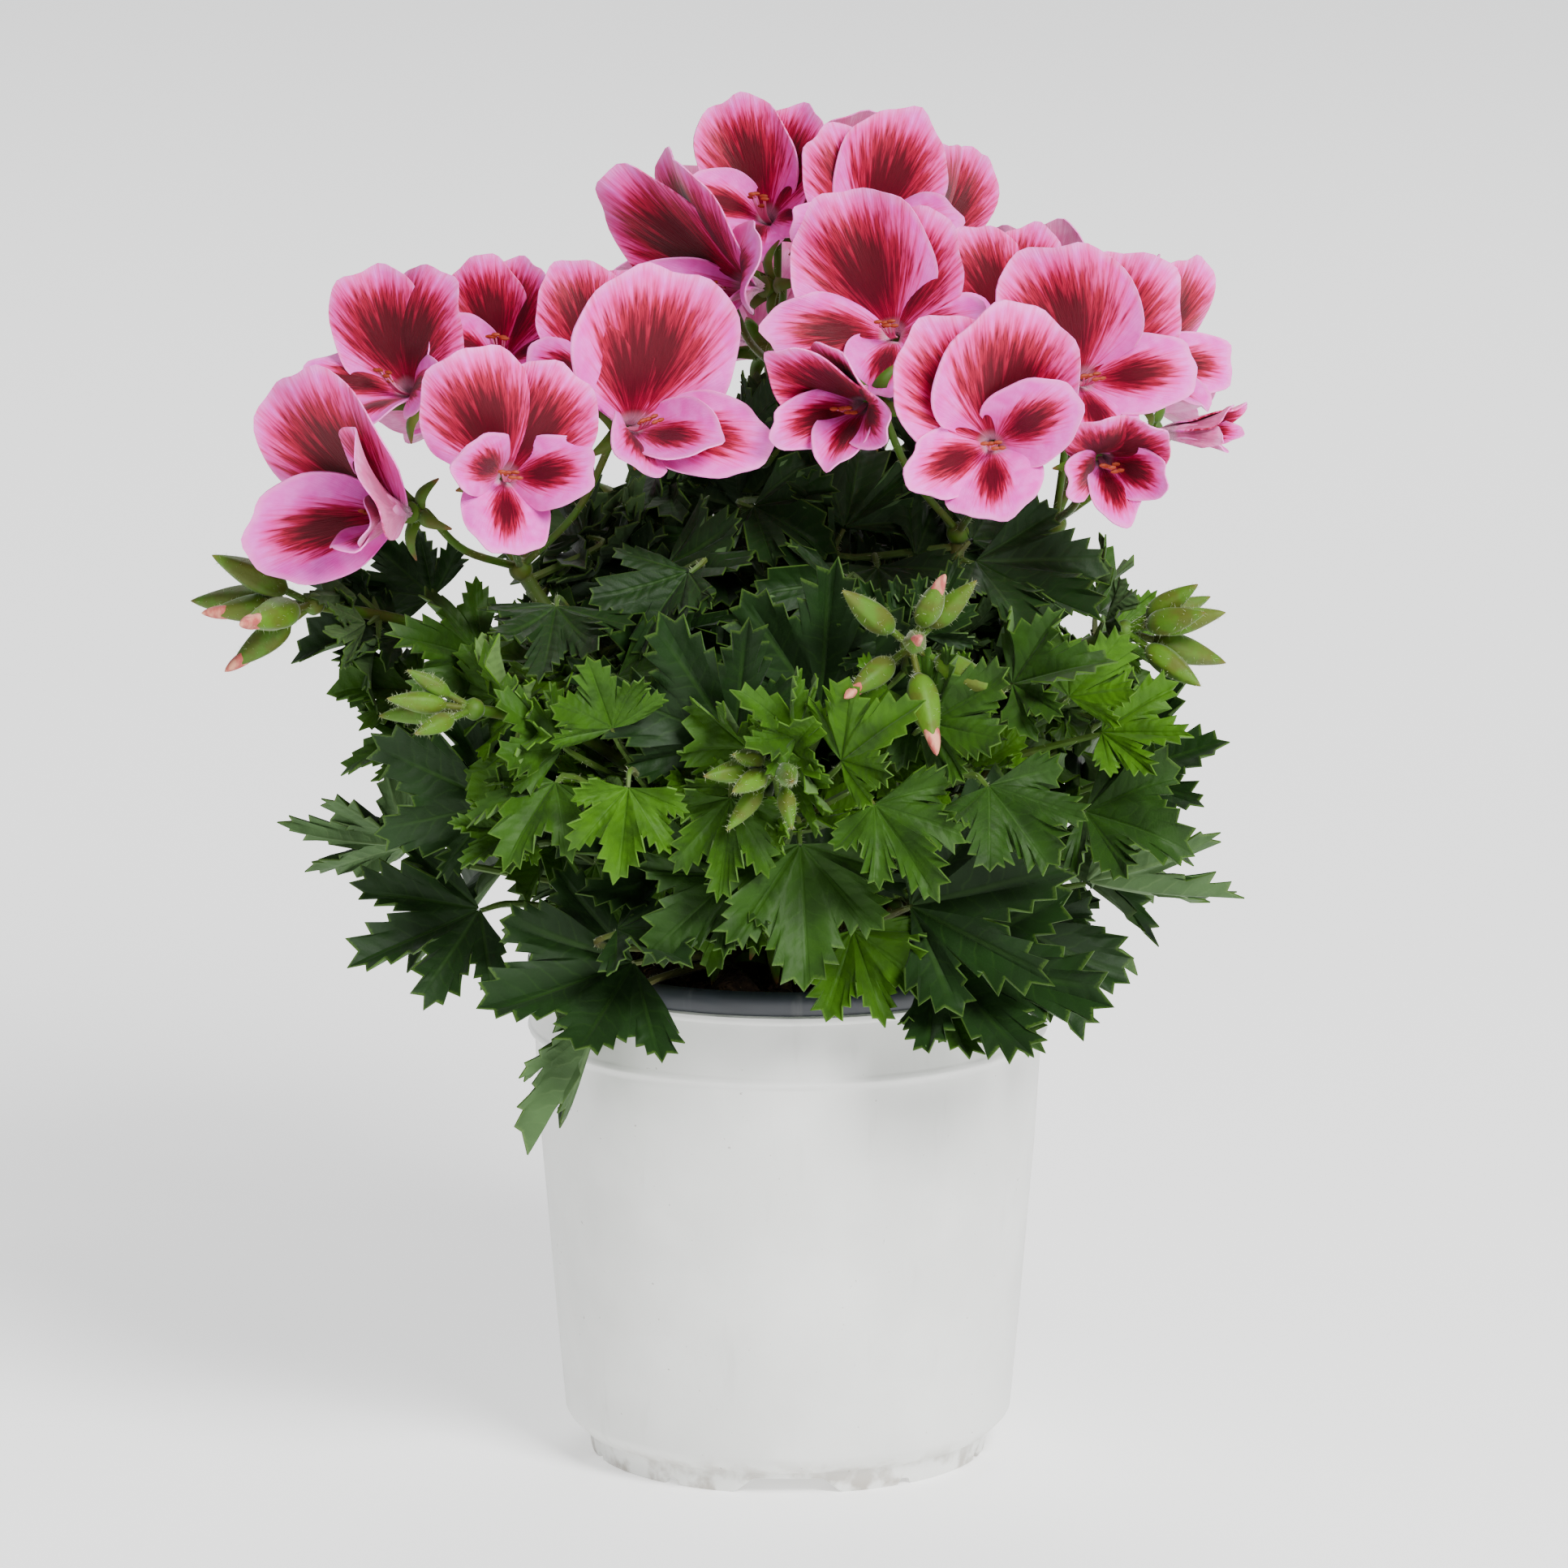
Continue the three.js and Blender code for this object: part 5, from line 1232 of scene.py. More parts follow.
def sepal(seat, axis, out, random):
    """One narrow sepal: a pointed sheet that leaves the cup and bends back at its tip.

    At share t of its length it is 1.9 (1 - t^1.6)^0.8 mm wide to each side, and it rises by a sine and
    falls by t^2.
    """
    across = np.cross(axis, out)
    t = np.linspace(0, 1, 9)[:, None]
    u = np.linspace(-1, 1, 5)[None]
    width = 1.9 * (1 - t**1.6) ** 0.8 + 0.12
    length = SEPAL * (0.82 + 0.2 * random.random())
    reach = 2.0 + (length - 2.0) * t
    rise = -1.2 + 2.2 * np.sin(np.pi * t) - 1.6 * t**2 - 0.5 * u**2 * width
    grid = seat + reach[..., None] * out + (u * width)[..., None] * across + rise[..., None] * axis
    edge = np.broadcast_to(t, grid.shape[:2])
    place = np.stack(np.broadcast_arrays(t, u), axis=-1)
    return sheet(grid, 0.45, place, edge, np.full(grid.shape[:2], 0.4), (0, 0, 0))


flower_frames = {name: flower_frame(*f[2:5]) for name, f in FLOWERS.items()}
print("flowers that face the front:", sum(bool(axis[1] < -0.5) for axis, _, _ in flower_frames.values()))

# %% [markdown]
# Behind each flower its stalk widens to a narrow cup, which holds the sepals' feet and the petals' claws.
# All stalks of a head start at a knob at the end of the head's own stalk. Tubes and sheets are all that
# this takes, and hairs on both make them soft against the light.

# %% Calyces
NECK = 5  # from the cup's mouth to the flower's throat
CLEARANCE = 0.35
STALK_START = 1.5
HEAD_KNOB = 3
CUP_HAIRS = 40


def knob(hub, radius):
    """A ball of rings, in which a ring at height h has the radius of the root of 1 - h^2."""
    ball = np.linspace(-1, 1, 9)
    radii = radius * np.sqrt(np.maximum(1 - ball**2, 0.03))
    return rings(hub + UP * (radius * ball)[:, None], radii, 12, tint=0.4)


for stem, stem_name in enumerate(STEM_NAMES):
    head = STEMS[stem_name][3]
    if not head:
        continue
    hub = np.array(HUBS[head], float)
    calyces = []
    for name in [flower for flower in FLOWERS if FLOWERS[flower][0] == head]:
        random = np.random.default_rng(sum(map(ord, name)))
        axis, top, side = flower_frames[name]
        throat = np.array(FLOWERS[name][1], float)
        seat = throat - axis * (NECK + CLEARANCE)
        heel = seat - axis * 6
        start = hub + unit(heel - hub) * STALK_START
        bend = start * 0.4 + heel * 0.6 - UP * 0.12 * np.linalg.norm(hub - heel)
        calyces.append(rings(path_of(np.stack([start, bend, heel]), 12), 1.0, 8, tint=0.35))
        heights = np.linspace(0, 1, 9)
        cup = heel + axis * (6.4 * heights)[:, None]
        calyces.append(rings(cup, 1.05 + 1.75 * np.sin(0.5 * np.pi * heights) ** 2.2, 12, tint=0.5))
        calyces += [fuzz(calyces[-1], CUP_HAIRS, 1.2, random), fuzz(calyces[-2], CUP_HAIRS, 1.2, random)]
        for k in range(5):
            a = math.radians(36 + 72 * k)
            calyces.append(sepal(seat, axis, top * math.cos(a) + side * math.sin(a), random))
    calyces.append(knob(hub, HEAD_KNOB))
    make_piece("calyces_" + head, calyces, [sepal_skin, hair], ["leafy_stem_" + stem_name])

# %% [markdown]
# Two small pointed stipules sit at each joint of a stem, where a leaf's stalk leaves it. They have a
# sepal's form, so the same sheet serves for both. Without them the joints look as smooth as wire.

# %% Stipules
STIPULES = 9  # joints with stipules on each stem
STIPULE_SEED = 700
GOLDEN_ANGLE = 137.5  # from each joint of a stem to the next

stipules = []
for stem in range(len(STEM_NAMES)):
    random = np.random.default_rng(STIPULE_SEED + stem)
    shares = np.linspace(0.45, 0.98, STIPULES)
    seats = spline(STEM_CURVES[stem], shares)
    runs = unit(spline(STEM_CURVES[stem], shares - 0.01) - seats)
    for i, (seat, run) in enumerate(zip(seats, runs)):
        across = unit(np.cross(run, outward(GOLDEN_ANGLE * i + 40 * stem)))
        for way in (-1, 1):
            stipules.append(sepal(seat + way * across * 1.2, -run, way * across, random))
make_piece("stipules", stipules, [sepal_skin])

# %% [markdown]
# A petal is pink with a dark blotch that runs out in feathers along the veins. The upper petals have a
# large blotch and the lower ones a narrow one, and all are pale at the throat. The back is paler, and the
# blotch only shines through it. The blotch is an oval in the petal's own flat coordinates, whose distance
# is roughened by a noise that is stretched along the veins. A painted picture would show every vein as it
# was, but the same on all flowers.

# %% Petal materials


def petal_material(name, back):
    """One face of all petals, from the place along and across the petal.

    The blotch is dark where the length of (away, aside), the place over the half axes of an oval, is small.
    Upper petals, whose tint is 1, have wider and longer ovals.
    """
    g = Graph(name, Sheen_Weight=0.08, Sheen_Roughness=0.4, Specular_IOR_Level=0.2)
    g.shader.inputs["Subsurface Weight"].default_value = 0.06
    g.shader.inputs["Subsurface Radius"].default_value = (0.006, 0.003, 0.003)
    uv, x, y = g.place()
    edge, upper = g.attribute("edge"), g.attribute("tint")
    angle = g.math("ARCTAN2", y, g.plus(x, 0.06))
    radius = g.length(x, y)
    fan = g.nodes.new("ShaderNodeCombineXYZ")
    g.links.new(g.times(angle, 26.0), fan.inputs[0])
    g.links.new(g.times(radius, 2.6), fan.inputs[1])
    g.links.new(g.times(upper, 7.0), fan.inputs[2])
    feather = g.noise(fan.outputs[0], 1.0, 4)
    threads = g.noise(fan.outputs[0], 3.6, 3)
    cloud = g.noise(uv, 6.0, 3)
    # the blotch: an oval whose edge runs out in feathers along the veins
    centre = g.plus(0.44, g.times(upper, -0.03))
    long_half = g.plus(0.31, g.times(upper, 0.08))
    spread = g.plus(0.1, g.times(upper, 0.28))
    wide_half = g.plus(0.09, g.times(spread, g.math("MAXIMUM", x, 0.0)))
    away = g.over(g.minus(g.math("MAXIMUM", x, 0.12), centre), long_half)
    aside = g.over(y, wide_half)
    oval = g.length(away, aside)
    oval = g.plus(oval, g.times(g.minus(feather, 0.5), 1.5))
    core = g.rest(g.smooth(oval, 0.4, 1.0))
    halo = g.rest(g.smooth(oval, 0.9, 1.25))
    flush = g.rest(g.smooth(oval, 1.05, 1.6))
    vein = g.smooth(threads, 0.5, 0.6)
    if back:
        base = g.mix(g.smooth(cloud, 0.3, 0.7), colour(232, 108, 180), colour(244, 156, 208))
        base = g.lay(base, flush, 0.5, (204, 66, 122))
        base = g.lay(base, core, 0.5, (132, 22, 62))
        base = g.lay(base, vein, 0.25, (190, 76, 136))
    else:
        base = g.mix(g.smooth(cloud, 0.3, 0.72), colour(236, 64, 194), colour(246, 108, 218))
        base = g.lay(base, g.smooth(edge, 0.93, 1.0), 0.5, (250, 150, 216))
        base = g.lay(base, flush, 0.78, (222, 16, 112))
        base = g.lay(base, halo, 0.95, (158, 0, 40))
        base = g.lay(base, core, 0.85, (52, 0, 6))
        lines = g.times(vein, g.plus(0.04, g.times(halo, 0.6)))
        base = g.mix(lines, base, colour(70, 0, 14))
    white = g.rest(g.smooth(x, -0.04, 0.1))
    base = g.lay(base, white, 0.8, (240, 200, 222))
    throat_lines = g.times(g.smooth(threads, 0.46, 0.56), g.times(white, 0.8))
    base = g.mix(throat_lines, base, colour(128, 22, 84))
    height = g.plus(g.times(threads, 0.8), g.times(cloud, 0.3))
    return g.finish(base, g.plus(0.42, g.times(cloud, 0.2)), height, 0.5, 0.0005)


def furled_material():
    """The salmon pink of petals that are still rolled up in the bud."""
    g = Graph("furled_petal", Sheen_Weight=0.1, Specular_IOR_Level=0.2)
    coords = g.object_place()
    lines = g.noise(coords, 420.0, 3, (1, 1, 0.4))
    base = g.mix(g.smooth(lines, 0.4, 0.65), colour(176, 84, 78), colour(214, 146, 118))
    return g.finish(base, 0.55, lines, 0.3, 0.0003)


petal_face, petal_back = petal_material("petal_face", False), petal_material("petal_back", True)
furled_skin = furled_material()
print("petal materials:", petal_face.name, petal_back.name, furled_skin.name)

# %% [markdown]
# Buds are pointed ovals of five sepals that have not parted, on short stalks from a common knob. The ripest
# show a tip of furled petals. Each could be built of five sepals, as it grows, but their seams are all that
# shows of them, and five shallow ribs round one oval give those.

# %% Buds
BUD_SEED = 50
BUNCH_KNOB = 2.8
BUD_HAIRS = (25, 80)  # on a bud's stalk and on the bud
RIPE_BUNCHES = ("left", "middle")  # whose buds show their petals


def bud_parts(root, direction, length, showing, random):
    """A bud's stalk, its closed sepals and, where it shows, the furled tip of the petals.

    The oval's radius at share t of its length is 0.17 of the length times sin(pi t^0.62)^0.8, with five
    ribs.
    """
    parts = [rings(root + direction * np.linspace(0, 6.6, 6)[:, None], 0.95, 8, tint=0.4)]
    t = np.linspace(0, 1, 15)
    profile = np.sin(np.pi * t**0.62) ** 0.8
    radii = 0.17 * length * profile + 0.12
    radii[0] = 0.9
    angle = np.arange(20) / 20 * 2 * np.pi
    ribs = 1 + 0.07 * np.cos(5 * angle)[None] * np.sin(np.pi * t)[:, None]
    end = 0.94 if showing else 1
    centres = root + direction * (6 + length * end * t)[:, None]
    parts.append(rings(centres, radii[:, None] * ribs, 20, edge=t * 0.9, tint=0.45 + 0.4 * random.random()))
    petal = []
    if showing:
        t = np.linspace(0, 1, 12)
        twist = 1 + 0.12 * np.cos(3 * angle[None] + 3 * t[:, None])
        radii = (0.085 * length * np.sin(np.pi * (0.35 + 0.65 * t)) ** 0.7 + 0.1)[:, None] * twist
        tip = root + direction * (6 + length * (0.6 + 0.42 * t))[:, None]
        petal.append(rings(tip, radii, 20))
    return parts, petal


furled = []
for bunch, (stem_name, place, pointing, count, length, spread) in BUD_BUNCHES.items():
    stem = STEM_NAMES.index(stem_name)
    hub = np.array(place, float)
    axis = unit(np.array(pointing, float))
    across = unit(np.cross(axis, UP))
    green = [rings(path_of(bunch_path(stem, hub), 18), np.linspace(1.7, 1.45, 18), 9, tint=0.35)]
    green.append(knob(hub, BUNCH_KNOB))
    for k in range(count):
        random = np.random.default_rng(BUD_SEED + k)
        lean = spread * (0.8 + 0.35 * draw(k + count) - 0.3 * random.random()) if k else 6
        around = 360 * k / (count - 1) + 44 * (random.random() - 0.5)
        direction = turned_about(turned_about(axis, across, lean), axis, around)
        size = length * (0.8 + 0.3 * draw(3 * k + length))
        showing = bunch in RIPE_BUNCHES and random.random() > 0.3
        bud, petal = bud_parts(hub + direction * STALK_START, direction, size, showing, random)
        green += bud + [fuzz(one, amount, 1.1, random) for one, amount in zip(bud, BUD_HAIRS)]
        furled += petal
    make_piece("buds_" + bunch, green, [sepal_skin, hair], ["leafy_stem_" + stem_name])
make_piece("furled_petals", furled, [furled_skin])

# %% [markdown]
# Five petals leave a narrow throat on thin claws. Two large ones stand up and overlap, three smaller ones
# hang and lean forward. A petal's outline is the hull of its claw's point and an ellipse, so its sides are
# straight and its end is round. A petal is laid along an arc that leans outwards more and more, is bent
# across to a wider or narrower trough as the flower is more or less open, and is ruffled towards its
# margin.

# %% Petals
# angle from the top, length as a share of the upper petal's, width as a share of its own length, lean
PETALS = [
    (-23, 1, 0.88, 1),
    (23, 1, 0.88, 1),
    (98, 0.84, 0.7, 0.86),
    (180, 0.74, 0.8, 0.72),
    (262, 0.84, 0.7, 0.86),
]
# how single petals of the flowers in front differ: degrees added to the turn, and factors of the length,
# the lean and the width
VARIED = {
    "left_outer": {
        0: (-12, 1, 0.55, 0.8),
        1: (4, 1.02, 1, 1.05),
        2: (8, 1.12, 1.05, 1.05),
        3: (28, 0.9, 0.5, 0.7),
        4: (0, 0.85, 0.45, 0.7),
    },
    "left_front": {
        2: (-26, 0.95, 0.5, 0.9),
        3: (0, 0.95, 1.05, 1.15),
        4: (10, 0.95, 0.85, 1),
    },
    "left_inner": {
        0: (6, 1.08, 0.95, 1.18),
        1: (-26, 0.9, 1.05, 0.9),
        2: (20, 0.9, 0.5, 0.9),
        3: (30, 1.1, 0.5, 0.9),
        4: (-26, 1.05, 1, 0.9),
    },
    "right_front": {
        0: (10, 1.02, 0.92, 1.02),
        1: (6, 1, 1.08, 1),
        2: (6, 0.9, 1.05, 0.9),
        3: (0, 0.9, 0.95, 1.25),
        4: (34, 0.95, 0.8, 1),
    },
    "right_outer": {
        0: (-14, 1, 1.1, 1),
        1: (0, 1.08, 0.9, 1.05),
    },
    "right_upper": {
        1: (-4, 1.05, 1, 1.1),
        2: (-10, 1.1, 1.15, 0.8),
    },
    "top_left": {
        1: (0, 1.06, 1, 0.9),
        2: (-8, 1.1, 1, 0.9),
        3: (10, 0.9, 0.5, 0.8),
    },
}
MIRRORED = ("right_front", "right_side", "top_right", "left_rear")  # the right upper petal lies in front
THROAT_RADIUS = 2.4
PETAL_THICKNESS = 0.4
PETAL_ROWS, PETAL_COLUMNS = 16, 37
OVAL_CENTRE = 0.6  # along the petal
COLUMN_SPREAD = 1.45  # the columns lie closer towards the sides
CLAW_LEAN, LEAN_GROWTH = 0.55, 0.6  # lean at the claw and its growth along the petal, as shares of the flare


def petal_part(name, k):
    """One petal of a flower as a thin closed sheet.

    The outline is the distance from the claw to the far side of an ellipse, at each angle. A point at share
    t of it is laid on an arc whose lean from the flower's axis grows along the petal, so its reach and rise
    are the integrals of the lean's sine and cosine. Across, the surface is bent to a trough, and waves
    along the margin lift it along its own normal.
    """
    _, throat, _, _, _, size, openness = FLOWERS[name]
    axis, top, side = flower_frames[name]
    turn, length_share, width_share, lean_share = PETALS[k]
    random = np.random.default_rng(sum(map(ord, name)) * 5 + k)
    turn += 10 * (random.random() - 0.5)
    length_share *= 0.95 + 0.1 * random.random()
    lean_share *= 0.88 + 0.2 * random.random()
    change = VARIED.get(name, {}).get(k, (0, 1, 1, 1))
    turn, length_share = turn + change[0], length_share * change[1]
    lean_share, width_share = lean_share * change[2], width_share * change[3]
    sense = -1 if name in MIRRORED else 1
    twist = (-0.2 if k < 2 else -0.12) * sense
    layer = {0: -0.022, 1: 0.022}.get(k, 0) * sense
    out = top * math.cos(math.radians(turn)) + side * math.sin(math.radians(turn))
    across = np.cross(axis, out)
    length = size * length_share
    half = 0.5 * width_share * (0.55 + 0.45 * openness)
    # the outline, as a distance from the claw at each angle
    long_half = 1 - OVAL_CENTRE
    widest = math.atan(half / math.sqrt(OVAL_CENTRE**2 - long_half**2))
    angle = widest * np.sin(np.linspace(-1, 1, PETAL_COLUMNS) * COLUMN_SPREAD) / math.sin(COLUMN_SPREAD)
    c, s = np.cos(angle), np.sin(angle)
    a = (c / long_half) ** 2 + (s / half) ** 2
    b = c * OVAL_CENTRE / long_half**2
    far = (b + np.sqrt(np.maximum(b**2 - a * ((OVAL_CENTRE / long_half) ** 2 - 1), 0))) / a
    phases = random.random(5) * 2 * np.pi
    waves = angle / widest
    far = far * (1 + 0.018 * np.sin(9 * waves + phases[0]) + 0.012 * np.sin(17 * waves + phases[1]))
    t = np.linspace(0.02, 1, PETAL_ROWS)[:, None]
    x = t * far * c * (1 + NECK / length) - NECK / length
    y = t * far * s
    # the arc that the petal leans along
    flare = math.radians(10 + 64 * openness) * lean_share
    lean = flare * (CLAW_LEAN + LEAN_GROWTH * np.maximum(x, 0))
    bow = length / (LEAN_GROWTH * flare)
    reach = THROAT_RADIUS * 0.8 + bow * (math.cos(CLAW_LEAN * flare) - np.cos(lean))
    reach = reach + np.minimum(x, 0) * length * 0.2
    rise = bow * (np.sin(lean) - math.sin(CLAW_LEAN * flare)) + np.minimum(x, 0) * length
    # bent across to a trough, and ruffled along the surface's own normal
    trough = reach * (1.05 + 1.6 * openness**2) + 2
    swing = np.clip(y * length / trough, -2.4, 2.4)
    ruffle = 0.05 * np.sin(4 * waves + phases[2]) + 0.03 * np.sin(9 * waves + phases[3])
    ruffle = ruffle * t**3 + 0.06 * t**4 * np.sin(phases[4])
    lift = length * (twist * y + layer * t + ruffle)
    reach = reach - trough * (1 - np.cos(swing)) - np.cos(lean) * lift
    rise = rise + np.sin(lean) * lift
    grid = throat + reach[..., None] * out + rise[..., None] * axis
    grid = grid + (trough * np.sin(swing))[..., None] * across
    upper = np.full(x.shape, 1.0 if k < 2 else 0.0)
    place = np.stack([x, y], axis=-1)
    return sheet(grid, PETAL_THICKNESS, place, np.broadcast_to(t, x.shape), upper)


trial = petal_part("left_front", 0)
print("an upper petal is", np.ptp(trial["points"], axis=0).round(1).tolist(), "mm wide, deep and high")

# %% [markdown]
# A few stamens hang out of the throat and curve up again, with rust-brown anthers. They are small, but a
# flower without them looks like paper. Thin tubes that end in small ovals are enough at this size.

# %% Stamens
STAMENS = 6


def stamen_material():
    """Pale pink filaments with rust-brown anthers."""
    g = Graph("stamen", Specular_IOR_Level=0.3)
    coords = g.object_place()
    grain = g.noise(coords, 1500.0, 2)
    base = g.mix(g.attribute("tint"), colour(214, 120, 156), colour(140, 52, 20))
    return g.finish(base, g.plus(0.4, g.times(grain, 0.4)), grain, 0.3, 0.0002)


def stamen_parts(name):
    """Filaments that leave the throat, hang a little and curve up again, each with a small anther."""
    axis, top, side = flower_frames[name]
    throat, openness = np.array(FLOWERS[name][1], float), FLOWERS[name][6]
    parts = []
    for k in range(STAMENS if openness > 0.3 else 0):
        fan = (k - (STAMENS - 1) / 2) / STAMENS
        length = 8 + 5 * draw(k + 3 * openness)
        points = throat + np.array([
            -axis * 3 + side * fan,
            axis * 0.35 * length + side * 2 * fan - top * 1.2,
            axis * length + side * 5 * fan - top * (0.6 - 1.4 * draw(k)),
        ])
        line = path_of(points, 9)
        parts.append(rings(line, np.linspace(0.32, 0.2, 9), 5, kind=2, tint=0.0))
        grain = line[-1] + side * np.linspace(-1, 1, 7)[:, None]
        parts.append(rings(grain, 0.15 + 0.4 * np.sin(np.linspace(0.3, 2.84, 7)), 6, kind=2, tint=1.0))
    return parts


stamen_skin = stamen_material()
open_flowers = [name for name in FLOWERS if stamen_parts(name)]
print("flowers open enough to show stamens:", len(open_flowers), "of", len(FLOWERS))

# %% [markdown]
# Petals and stamens of a flower make one piece, which takes the place of the flower's solid. Each could be
# an object of its own, but a library user will want to pick a whole flower.

# %% Blooms
for name in FLOWERS:
    petals = [petal_part(name, k) for k in range(len(PETALS))]
    looks = [petal_face, petal_back, stamen_skin]
    make_piece("bloom_" + name, petals + stamen_parts(name), looks, ["petals_" + name])

# %% [markdown]
# The pot is one thin wall turned round the axis: a foot ring with notches that let water out, a straight
# tapering side, a collar with a small bead, and a rolled lip of darker plastic.

# %% Pot materials


def pot_material(name, light, dark):
    """Plastic with faint scuffs, soil specks and, near the foot, dirt."""
    g = Graph(name, Coat_Weight=0.15, Coat_Roughness=0.2, Specular_IOR_Level=0.5)
    coords = g.object_place()
    cloud = g.noise(coords, 30.0, 4)
    scuffs = g.noise(coords, 190.0, 5, (1, 1, 0.2))
    specks = g.noise(coords, 620.0, 2)
    base = g.mix(g.smooth(cloud, 0.35, 0.7), colour(*dark), colour(*light))
    base = g.lay(base, g.smooth(scuffs, 0.6, 0.75), 0.1, (150, 148, 140))
    base = g.lay(base, g.smooth(specks, 0.74, 0.78), 0.5, (110, 98, 82))
    low = g.rest(g.smooth(g.height_of(coords), 0.001, 0.012))
    dirt = g.times(low, g.smooth(g.noise(coords, 120.0, 5), 0.45, 0.62))
    base = g.lay(base, dirt, 0.6, (112, 92, 66))
    roughness = g.plus(0.34, g.times(scuffs, 0.2))
    return g.finish(base, roughness, scuffs, 0.08, 0.0003)


pot_looks = [
    pot_material("pot_white", (236, 237, 233), (224, 225, 221)),
    pot_material("pot_charcoal", (48, 55, 63), (32, 37, 43)),
]
print("pot materials:", [look.name for look in pot_looks])

# %% [markdown]
# The pot's wall is thin plastic, the same all the way round, so one profile tells all of it: up the outside
# from under the foot, over the lip and down the inside to the floor. Close rows keep the edges crisp and
# shiny where the real one has small roundings. A solid with a thickness modifier would give a wall, but no
# bead and no lip.

# %% The pot's profile
RIM_RADIUS = 65
POT_HEIGHT = 131.5
WALL = 1.3
FOOT_RADIUS = 49.2
FOOT_HEIGHT = 5.8
FLOOR_TOP = 6.2
COLLAR = 105.8
LIP = 125.6

# radius, height, and whether the row's faces are the charcoal lip and inside (1) or the white side (0)
POT_PROFILE = [
    (0.6, 0, 0), (6, 0, 0), (14, 0, 0), (16, FOOT_HEIGHT - 1.2, 0), (30, FOOT_HEIGHT - 1.2, 0),
    (FOOT_RADIUS - 1.6, FOOT_HEIGHT - 1.2, 0), (FOOT_RADIUS - 1.6, 3, 0), (FOOT_RADIUS - 1.6, 0.3, 0),
    (FOOT_RADIUS - 1.3, 0, 0), (FOOT_RADIUS - 0.3, 0, 0), (FOOT_RADIUS, 0.3, 0),
    (FOOT_RADIUS + 0.4, 3, 0), (FOOT_RADIUS + 0.9, FOOT_HEIGHT - 0.4, 0),
    (FOOT_RADIUS + 1.5, FOOT_HEIGHT, 0), (FOOT_RADIUS + 2.4, FOOT_HEIGHT + 0.4, 0),
    (FOOT_RADIUS + 5.7, 9.6, 0), (FOOT_RADIUS + 6.4, 10.9, 0), (FOOT_RADIUS + 7.0, 17, 0),
    (FOOT_RADIUS + 8.9, 38, 0), (FOOT_RADIUS + 10.6, 59, 0), (FOOT_RADIUS + 12.4, 80, 0),
    (RIM_RADIUS - 2.1, 101, 0), (RIM_RADIUS - 1.9, COLLAR, 0), (RIM_RADIUS - 1.5, COLLAR + 1.2, 0),
    (RIM_RADIUS - 0.4, COLLAR + 2.0, 0), (RIM_RADIUS - 0.1, COLLAR + 2.8, 0),
    (RIM_RADIUS - 0.5, COLLAR + 3.8, 0), (RIM_RADIUS - 0.7, COLLAR + 4.4, 0),
    (RIM_RADIUS - 0.9, LIP - 3.6, 0), (RIM_RADIUS - 0.9, LIP - 2.4, 0),
    (RIM_RADIUS - 0.2, LIP - 1.9, 0), (RIM_RADIUS, LIP - 1.2, 0), (RIM_RADIUS - 0.1, LIP - 0.4, 0),
    (RIM_RADIUS - 0.9, LIP, 1), (RIM_RADIUS - 0.5, LIP + 0.9, 1), (RIM_RADIUS - 0.4, LIP + 3.6, 1),
    (RIM_RADIUS - 1.0, POT_HEIGHT - 0.6, 1), (RIM_RADIUS - 2.2, POT_HEIGHT, 1),
    (RIM_RADIUS - 3.2, POT_HEIGHT - 0.6, 1), (RIM_RADIUS - 3.7, POT_HEIGHT - 2.2, 1),
    (RIM_RADIUS - 3.9, LIP, 1), (RIM_RADIUS - 1.9 - WALL, COLLAR, 1), (FOOT_RADIUS + 9.2 - WALL, 60, 1),
    (FOOT_RADIUS + 6.2 - WALL, 13, 1), (FOOT_RADIUS + 4.4 - WALL, 10.5, 1), (FOOT_RADIUS, 6.8, 1),
    (FOOT_RADIUS - 1.4, FLOOR_TOP, 1), (30, FLOOR_TOP, 1), (15.2, FLOOR_TOP, 1), (12.8, 1.4, 1),
    (6, 1.4, 1), (0.6, 1.4, 1),
]
print("pot profile:", len(POT_PROFILE), "points,", POT_HEIGHT, "mm high")

# %% [markdown]
# The foot ring is cut by two wide notches with slanted sides and eight round ones, which let water out.
# They could be cut with booleans, which leave long thin faces in a thin wall. Here the ring's lower edge is
# lifted where a notch is, and extra columns stand at the notches' corners, so these come out sharp.

# %% Pot
POT_COLUMNS = 144
WIDE_NOTCHES = (0, 180)
ROUND_NOTCHES = (36, 72, 108, 144, 216, 252, 288, 324)
WIDE_HALF, WIDE_DEPTH = 13.4, 4
ROUND_RADIUS = 1.9
# degrees from a notch's middle at which columns stand
WIDE_CORNERS = (-16, -15.8, -9.9, 9.9, 15.8, 16)
ROUND_CORNERS = (-2.22, -1.9, -1.2, 1.2, 1.9, 2.22)


def notch_height(azimuth, radius):
    """How far the foot ring's edge is lifted at an azimuth.

    A wide notch lifts it by 0.8 of the distance from its side, and at most by its depth, and a round one by
    the height of a circle's upper half.
    """
    lifted = np.zeros(np.broadcast(azimuth, radius).shape)
    for place in WIDE_NOTCHES + ROUND_NOTCHES:
        off = np.abs((azimuth - place + 180) % 360 - 180)
        aside = np.where(off < 60, radius * np.sin(np.radians(off)), 99)
        if place in WIDE_NOTCHES:
            lift = np.clip((WIDE_HALF - aside) * 0.8, 0, WIDE_DEPTH)
        else:
            lift = np.sqrt(np.maximum(ROUND_RADIUS**2 - aside**2, 0))
        lifted = np.maximum(lifted, lift)
    return lifted


